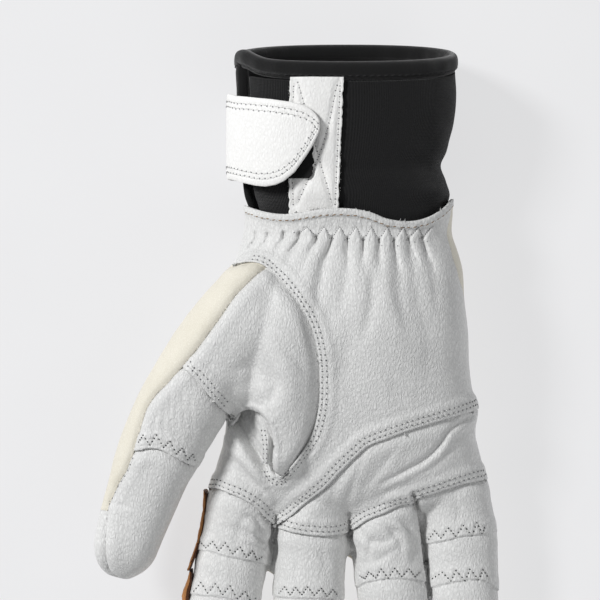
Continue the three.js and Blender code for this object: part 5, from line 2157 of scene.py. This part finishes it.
@dataclass
class Strap:
    """The closing strap: white leather with a fleece lining, rounded at its end."""

    cuff: Cuff
    thick: float = 2.3
    sides: int = 72
    insets: tuple[float, float] = (2.7, 4.7)  # of its two rows of stitches
    pitch: float = 2.5
    front_end: float = 7.95  # x where the photo's end of the strap stops
    far_end: float = 9.0  # the length of its hidden round end

    def __post_init__(self) -> None:
        """Lays the strap's line round the cuff."""
        rows = columns(STRAP_ROWS, "angle stand")
        angle = np.radians(np.linspace(92, 256, 200))
        stand = np.interp(np.degrees(angle), rows[:, 0], rows[:, 1])
        stand = np.convolve(np.pad(stand, 10, "edge"), np.ones(21) / 21, "valid")
        path = self.cuff.point(np.full(200, 100.0), angle, stand + 0.9)[:, [0, 2]]
        self.path = smooth_line(path, 0.5)

    def stations(self) -> list[tuple[np.ndarray, np.ndarray, float, float]]:
        """Places along the strap, with the outward direction and the low and high edges.

        Returns:
            The place, the outward direction, the low edge and the high edge of each.
        """
        path = self.path
        along = headings(path)
        outs = np.column_stack([along[:, 1], -along[:, 0]])
        turned = int(np.argmin(path[:, 0]))
        top, bottom = (np.array(line, float) for line in (STRAP_TOP, STRAP_BOTTOM))
        result = []
        for i, (place, out) in enumerate(zip(path, outs)):
            if place[0] > self.front_end and i < turned:
                continue
            x = place[0] if i <= turned else path[turned, 0]
            high, low = (np.interp(x, line[:, 0], line[:, 1]) for line in (top, bottom))
            if i > turned:
                rest = (len(path) - 1 - i) * 0.5
                close = max(0.0, 1 - rest / self.far_end)
                inset = 12 * (1 - math.sqrt(max(0.0, 1 - close**2)))
                high, low = high - inset, low + inset
            result.append((place, out, low, high))
        return result

    def build(self) -> None:
        """Skins the strap and shows it and its sewing."""
        wide, deep = rounded(around(self.sides), 0.28, 0.5)
        rings = []
        for place, out, low, high in self.stations():
            middle, half = (low + high) / 2, (high - low) / 2
            y = middle + half * wide
            edge = half - np.abs(y - middle)
            press = sum(0.22 * np.exp(-(((edge - inset) / 0.5) ** 2)) for inset in self.insets)
            lift = self.thick / 2 * deep - np.where(deep > 0, press, 0)
            rings.append(np.column_stack([place[0] + out[0] * lift, y, place[1] + out[1] * lift]))
        made = bmesh.new()
        skin(made, rings)
        mesh = mesh_of(made, "strap")
        path = self.path
        centres = np.array([face.center[:] for face in mesh.polygons])
        near = ((centres[:, None, [0, 2]] - path[None, ::4]) ** 2).sum(axis=2).argmin(axis=1) * 4
        along = np.gradient(path, axis=0)[near]
        outward = (centres[:, [0, 2]] - path[near])
        side = outward[:, 0] * along[:, 1] - outward[:, 1] * along[:, 0]
        for face, value in zip(mesh.polygons, side / np.linalg.norm(along, axis=1)):
            face.material_index = 1 if value < -0.25 else 0
        # The strap's face takes the lighter copy of the white leather, as painted light
        piece = show("strap_leather", mesh.copy(), (Finish.BRIGHT, Finish.LINING), ("strap",))
        self.sew(tree_of(mesh))

    def sew(self, tree: BVHTree) -> None:
        """Two rows of stitches round the strap's edge.

        Args:
            tree: the strap's faces.
        """
        sewing = Sewing("strap_stitching", tree)
        rows = self.stations()
        over = 1.2  # just above the strap's outer face
        for inset in self.insets:
            shown = [row for row in rows if row[3] - row[2] > 2 * inset + 1]
            place, out, low, high = shown[0]
            bulge = 0.72 if inset == self.insets[0] else 0.36
            upper, lower = [], []
            for centre, outward, bottom, top in shown:
                x, z = centre + outward * over
                upper.append((x, top - inset, z))
                lower.append((x, bottom + inset, z))
            bend = []
            for turn in np.linspace(0, math.pi, 14)[1:-1]:
                y = (low + high) / 2 + ((high - low) / 2 - inset) * math.cos(turn)
                bend.append((place[0] + bulge * math.sin(turn), y, place[1] + out[1] * over))
            sewing.row(np.array(upper[::-1] + bend + lower), self.pitch)
        show("strap_stitching", sewing.finish(), (Finish.THREAD, Finish.PALE_HOLE))


# ---------------------------------------------------------------- light and camera


@dataclass(frozen=True)
class Lamp:
    """A square soft lamp, in metres and watts."""

    name: str
    place: tuple[float, float, float]
    size: float
    power: float


LAMPS = (Lamp("key", (-1.27, 0.8, 1.3), 0.4, 31.0), Lamp("fill", (1.1, -0.9, 1.4), 1.6, 9.0))


@dataclass(frozen=True)
class Studio:
    """The pale backdrop, the lights and the camera straight above, in metres."""

    aim: tuple[float, float, float] = (0, 0.03, 0.03)
    camera_place: tuple[float, float, float] = (0, 0.037, 1.34)
    lens: float = 200
    backdrop_half: float = 4.0
    backdrop_drop: float = 0.0005

    def build(self) -> None:
        """Makes the backdrop, the lights, the world and the camera."""
        made = bmesh.new()
        bmesh.ops.create_grid(made, x_segments=1, y_segments=1, size=self.backdrop_half)
        mesh = mesh_of(made, "backdrop")
        mesh.materials.append(dressed(Finish.FLOOR))
        floor = put("backdrop", mesh)
        floor.location.z = -self.backdrop_drop
        for lamp in LAMPS:
            data = bpy.data.lights.new(lamp.name, "AREA")
            data.size, data.energy = lamp.size, lamp.power
            light = put(lamp.name, data)
            light.location = lamp.place
            light.rotation_euler = (Vector(self.aim) - Vector(lamp.place)).to_track_quat("-Z", "Y").to_euler()
        world = bpy.data.worlds.new("studio")
        world.use_nodes = True
        sky = world.node_tree.nodes["Background"].inputs
        sky[0].default_value, sky[1].default_value = (0.96, 0.98, 1.0, 1), 0.2
        bpy.context.scene.world = world
        data = bpy.data.cameras.new("camera")
        data.lens, data.sensor_width = self.lens, 36
        camera = put("camera", data)
        camera.location = self.camera_place
        bpy.context.scene.camera = camera
        bpy.context.scene.view_settings.view_transform = "Standard"


def main() -> None:
    """Builds the glove piece by piece."""
    logging.basicConfig(level=logging.INFO, format="%(name)s: %(message)s")
    LeatherHand().build()
    Guard().build()
    cuff = Cuff()
    cuff.build()
    Strap(cuff).build()
    Studio().build()


if __name__ == "__main__":
    main()
